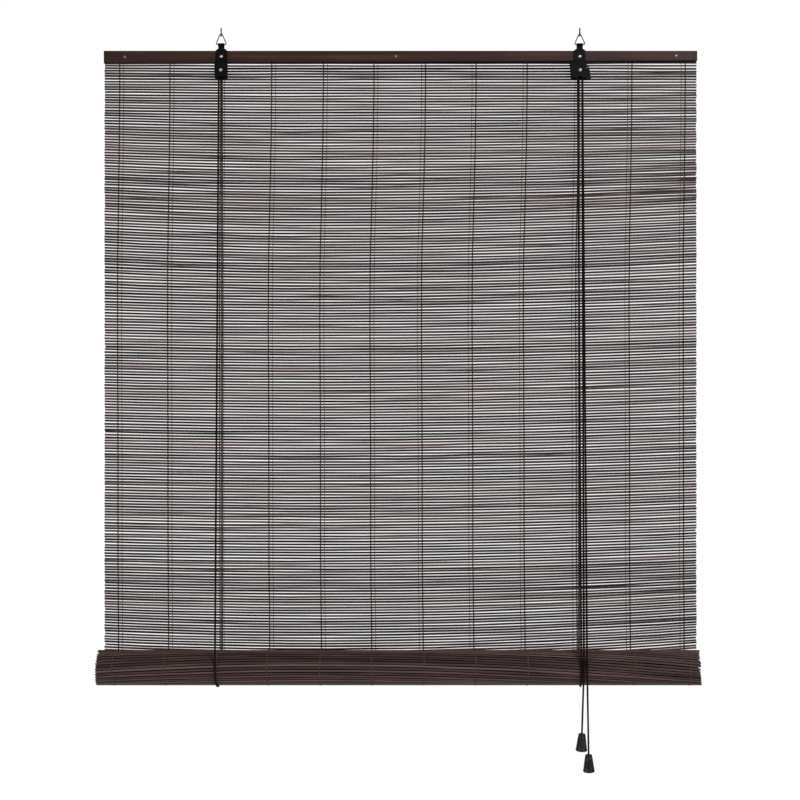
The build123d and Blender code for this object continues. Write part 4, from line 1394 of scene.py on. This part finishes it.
@dataclass
class Tassel:
    """A moulded bell on a pull cord's end: rounded lid, a shallow groove, and a wall open at the foot."""

    finishes: Palette
    cordage: Cordage
    side: Side
    roll_x: float
    foot_x: float
    drop: float
    split_height: float = 14.0 * MM
    height: float = 26.0 * MM
    top_r: float = 5.15 * MM
    foot_r: float = 8.7 * MM
    wall: float = 1.8 * MM
    lid: float = 5.0 * MM
    lid_rounding: float = 1.1 * MM
    foot_rounding: float = 2.3 * MM
    knot_size: float = 6.0 * MM
    knot_drop: float = 2.4 * MM
    straight_end: float = 14.0 * MM

    @property
    def bend(self) -> Array:
        """Where the pull cord turns down over the roll's front."""
        winding, cordage = self.cordage.winding, self.cordage
        z = winding.axis_z + cordage.sling_r * math.tan(math.radians(cordage.lean(self.side)) / 2)
        return np.array([cordage.hook_x + self.roll_x, winding.axis_y - cordage.sling_r, z])

    @property
    def top(self) -> Array:
        """The middle of the lid."""
        winding, cordage = self.cordage.winding, self.cordage
        return np.array([cordage.hook_x + self.foot_x, winding.axis_y - cordage.sling_r,
                         winding.axis_z - self.drop])

    @property
    def along(self) -> Array:
        """The way that the cord goes into the lid."""
        return unit((self.top - self.bend)[None])[0]

    @property
    def leaving(self) -> Array:
        """Where the pull cord comes down from the lock's wheel."""
        cordage = self.cordage
        return np.array([cordage.hook_x + cordage.line_r, cordage.groove_y[self.side], cordage.axle_z])

    @property
    def split(self) -> Array:
        """Where the run over the roll begins, above its front."""
        return self.bend + unit((self.leaving - self.bend)[None])[0] * self.split_height

    def profile(self) -> Array:
        """(radius, height down) from the lid's pole, down the outside, round the foot and up the inside."""
        h, top, foot, wall = self.height, self.top_r, self.foot_r, self.wall
        flare = (foot - top) / h
        r, q = self.lid_rounding, self.foot_rounding
        corner = np.linspace(0.0, np.pi / 2, 5)
        lid = np.stack([top - r + r * np.sin(corner), r - r * np.cos(corner)], -1)
        outer_z = np.array([1.9, 2.5, 2.8, 3.3, 3.8, 4.2, 8.0, 13.0, 18.0, 21.5]) * MM
        groove = np.array([0.0, 0.10, 0.38, 0.42, 0.36, 0.05, 0.0, 0.0, 0.0, 0.0]) * MM
        outer = np.stack([top + flare * outer_z - groove, outer_z], -1)
        edge = np.linspace(0.0, np.pi / 2, 7)
        rounding = np.stack([foot - q + q * np.cos(edge), h - q + q * np.sin(edge)], -1)
        mouth = np.array([[foot - q - 0.5 * MM, h - 0.1 * MM], [foot - q - 0.9 * MM, h - 0.8 * MM]])
        inner_top = top + flare * self.lid - wall
        inside = np.array([[foot - q - 1.0 * MM, h - 3 * MM], [inner_top + 0.8 * MM, self.lid + 8 * MM],
                           [inner_top, self.lid + 0.8 * MM], [inner_top - 0.8 * MM, self.lid]])
        return np.concatenate([[[0.0, 0.0]], lid, outer, rounding, mouth, inside, [[0.0, self.lid]]])

    def build(self) -> None:
        """Makes the bell, its knot, the cord over the roll and the run above it."""
        name = self.side.value
        body = f"tassel_{name}"
        mesh = lathe_mesh(f"tassel_{name}_bell", self.profile(), tuple(self.top), tuple(self.along))
        bell = add_piece(mesh, self.finishes.tassel, body, crease=38.0)
        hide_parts(f"tassel_{name}")
        middle = self.top + self.along * (self.lid + self.knot_drop)
        cordage = self.cordage
        knot = cordage.knot(f"tassel_{name}_tied", tuple(middle), tuple(self.along), self.knot_size, body,
                            f"tassel_knot_{name}")
        end = self.top + self.along * self.lid
        step = self.along * self.straight_end
        points = [self.split, self.bend, self.bend + step, self.top - step, end]
        path = cordage.route(f"pull_{name}", [tuple(point) for point in points])
        run = cordage.braid(f"pull_cord_{name}_end", path, None, [f"pull_cord_{name}_lower"])
        cordage.declare(run, path, Facts("fitting", "hanging"), (bell, knot))
        tuple(self.bend)
        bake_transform(run)
        touch_height = cordage.sling_r * math.tan(math.radians(cordage.lean(self.side)) / 2)
        cordage.upper(self.side, f"pull_cord_{name}", self.leaving, self.split,
                      self.split_height - touch_height, f"pull_cord_{name}_upper")


# ---- Hooks and fittings --------------------------------------------------------------


@dataclass
class Hardware:
    """Hooks, rings, brackets, rivets, nails, wheels and the jaw."""

    finishes: Palette
    hook_x: float = 271.5 * MM
    thread_top: float = 3.9 * MM
    thread_foot: float = 0.3 * MM
    thread_pitch: float = 0.8 * MM
    shank_r: float = 1.0 * MM
    ridge: float = 0.28 * MM
    root: float = 0.8
    half_flank: float = 0.32

    def screw_thread(self, side: Side) -> None:
        """A sharp ridge climbing the shank: angle 2 pi * height / pitch, tapering off at both ends."""
        turns = (self.thread_top - self.thread_foot) / self.thread_pitch
        share = np.linspace(0.0, 1.0, int(turns * 20))
        angle = 2 * np.pi * turns * share
        z = self.thread_foot + (self.thread_top - self.thread_foot) * share
        taper = np.clip(np.minimum(share, 1 - share) * 8, 0.05, 1.0) * self.ridge
        inner, outer = np.full_like(z, self.shank_r * self.root), self.shank_r + taper
        radius = np.stack([inner, outer, inner], -1)
        height = z[:, None] + self.thread_pitch * self.half_flank * np.array([-1.0, 0.0, 1.0])
        x = side.sign * self.hook_x + radius * np.cos(angle)[:, None]
        rings = np.stack([x, radius * np.sin(angle)[:, None], height], axis=-1)
        mesh = strips_mesh(f"hook_thread_{side.value}", rings[None])
        add_piece(mesh, self.finishes.wire, "hooks", crease=30.0)

    def build(self, nodes: dict[str, bpy.types.Object]) -> None:
        """Cuts the screw threads and dresses the construction nodes that stay in view."""
        dressed = (("screw_hook", self.finishes.wire), ("wire_ring", self.finishes.wire),
                   ("rail_rivet", self.finishes.steel), ("axle_rivet", self.finishes.steel),
                   ("rail_nails", self.finishes.nail), ("jaw_pin", self.finishes.steel),
                   ("bracket_", self.finishes.enamel), ("backing_plate", self.finishes.enamel),
                   ("lock_jaw", self.finishes.enamel), ("cord_wheel", self.finishes.wheel),
                   ("bottom_battens", self.finishes.timber))
        for start, finish in dressed:
            for name, node in nodes.items():
                if name.startswith(start):
                    finish.paint(node)
                    log.info("%s: %s", name, finish.name)
        for side in Side:
            self.screw_thread(side)


# ---- The whole blind -----------------------------------------------------------------


def main() -> None:
    """Loads the frame and builds the studio and the blind."""
    logging.basicConfig(level=logging.INFO, format="%(name)s: %(message)s")
    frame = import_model()
    finishes = Palette()
    winding = Winding()
    lift = Lift()
    Studio().build()
    cordage = Cordage(finishes, winding, lift)
    cordage.build()
    tassels = (Tassel(finishes, cordage, Side.LEFT, roll_x=0.3 * MM, foot_x=-2.7 * MM, drop=93.3 * MM),
               Tassel(finishes, cordage, Side.RIGHT, roll_x=5.1 * MM, foot_x=7.2 * MM, drop=124.4 * MM))
    cordage.over_wheels({tassel.side: tassel.split for tassel in tassels})
    for tassel in tassels:
        tassel.build()
    HeadRail(finishes).build()
    BambooMat(finishes, winding, lift).build()
    Hardware(finishes).build(frame["nodes"])


if __name__ == "__main__":
    main()
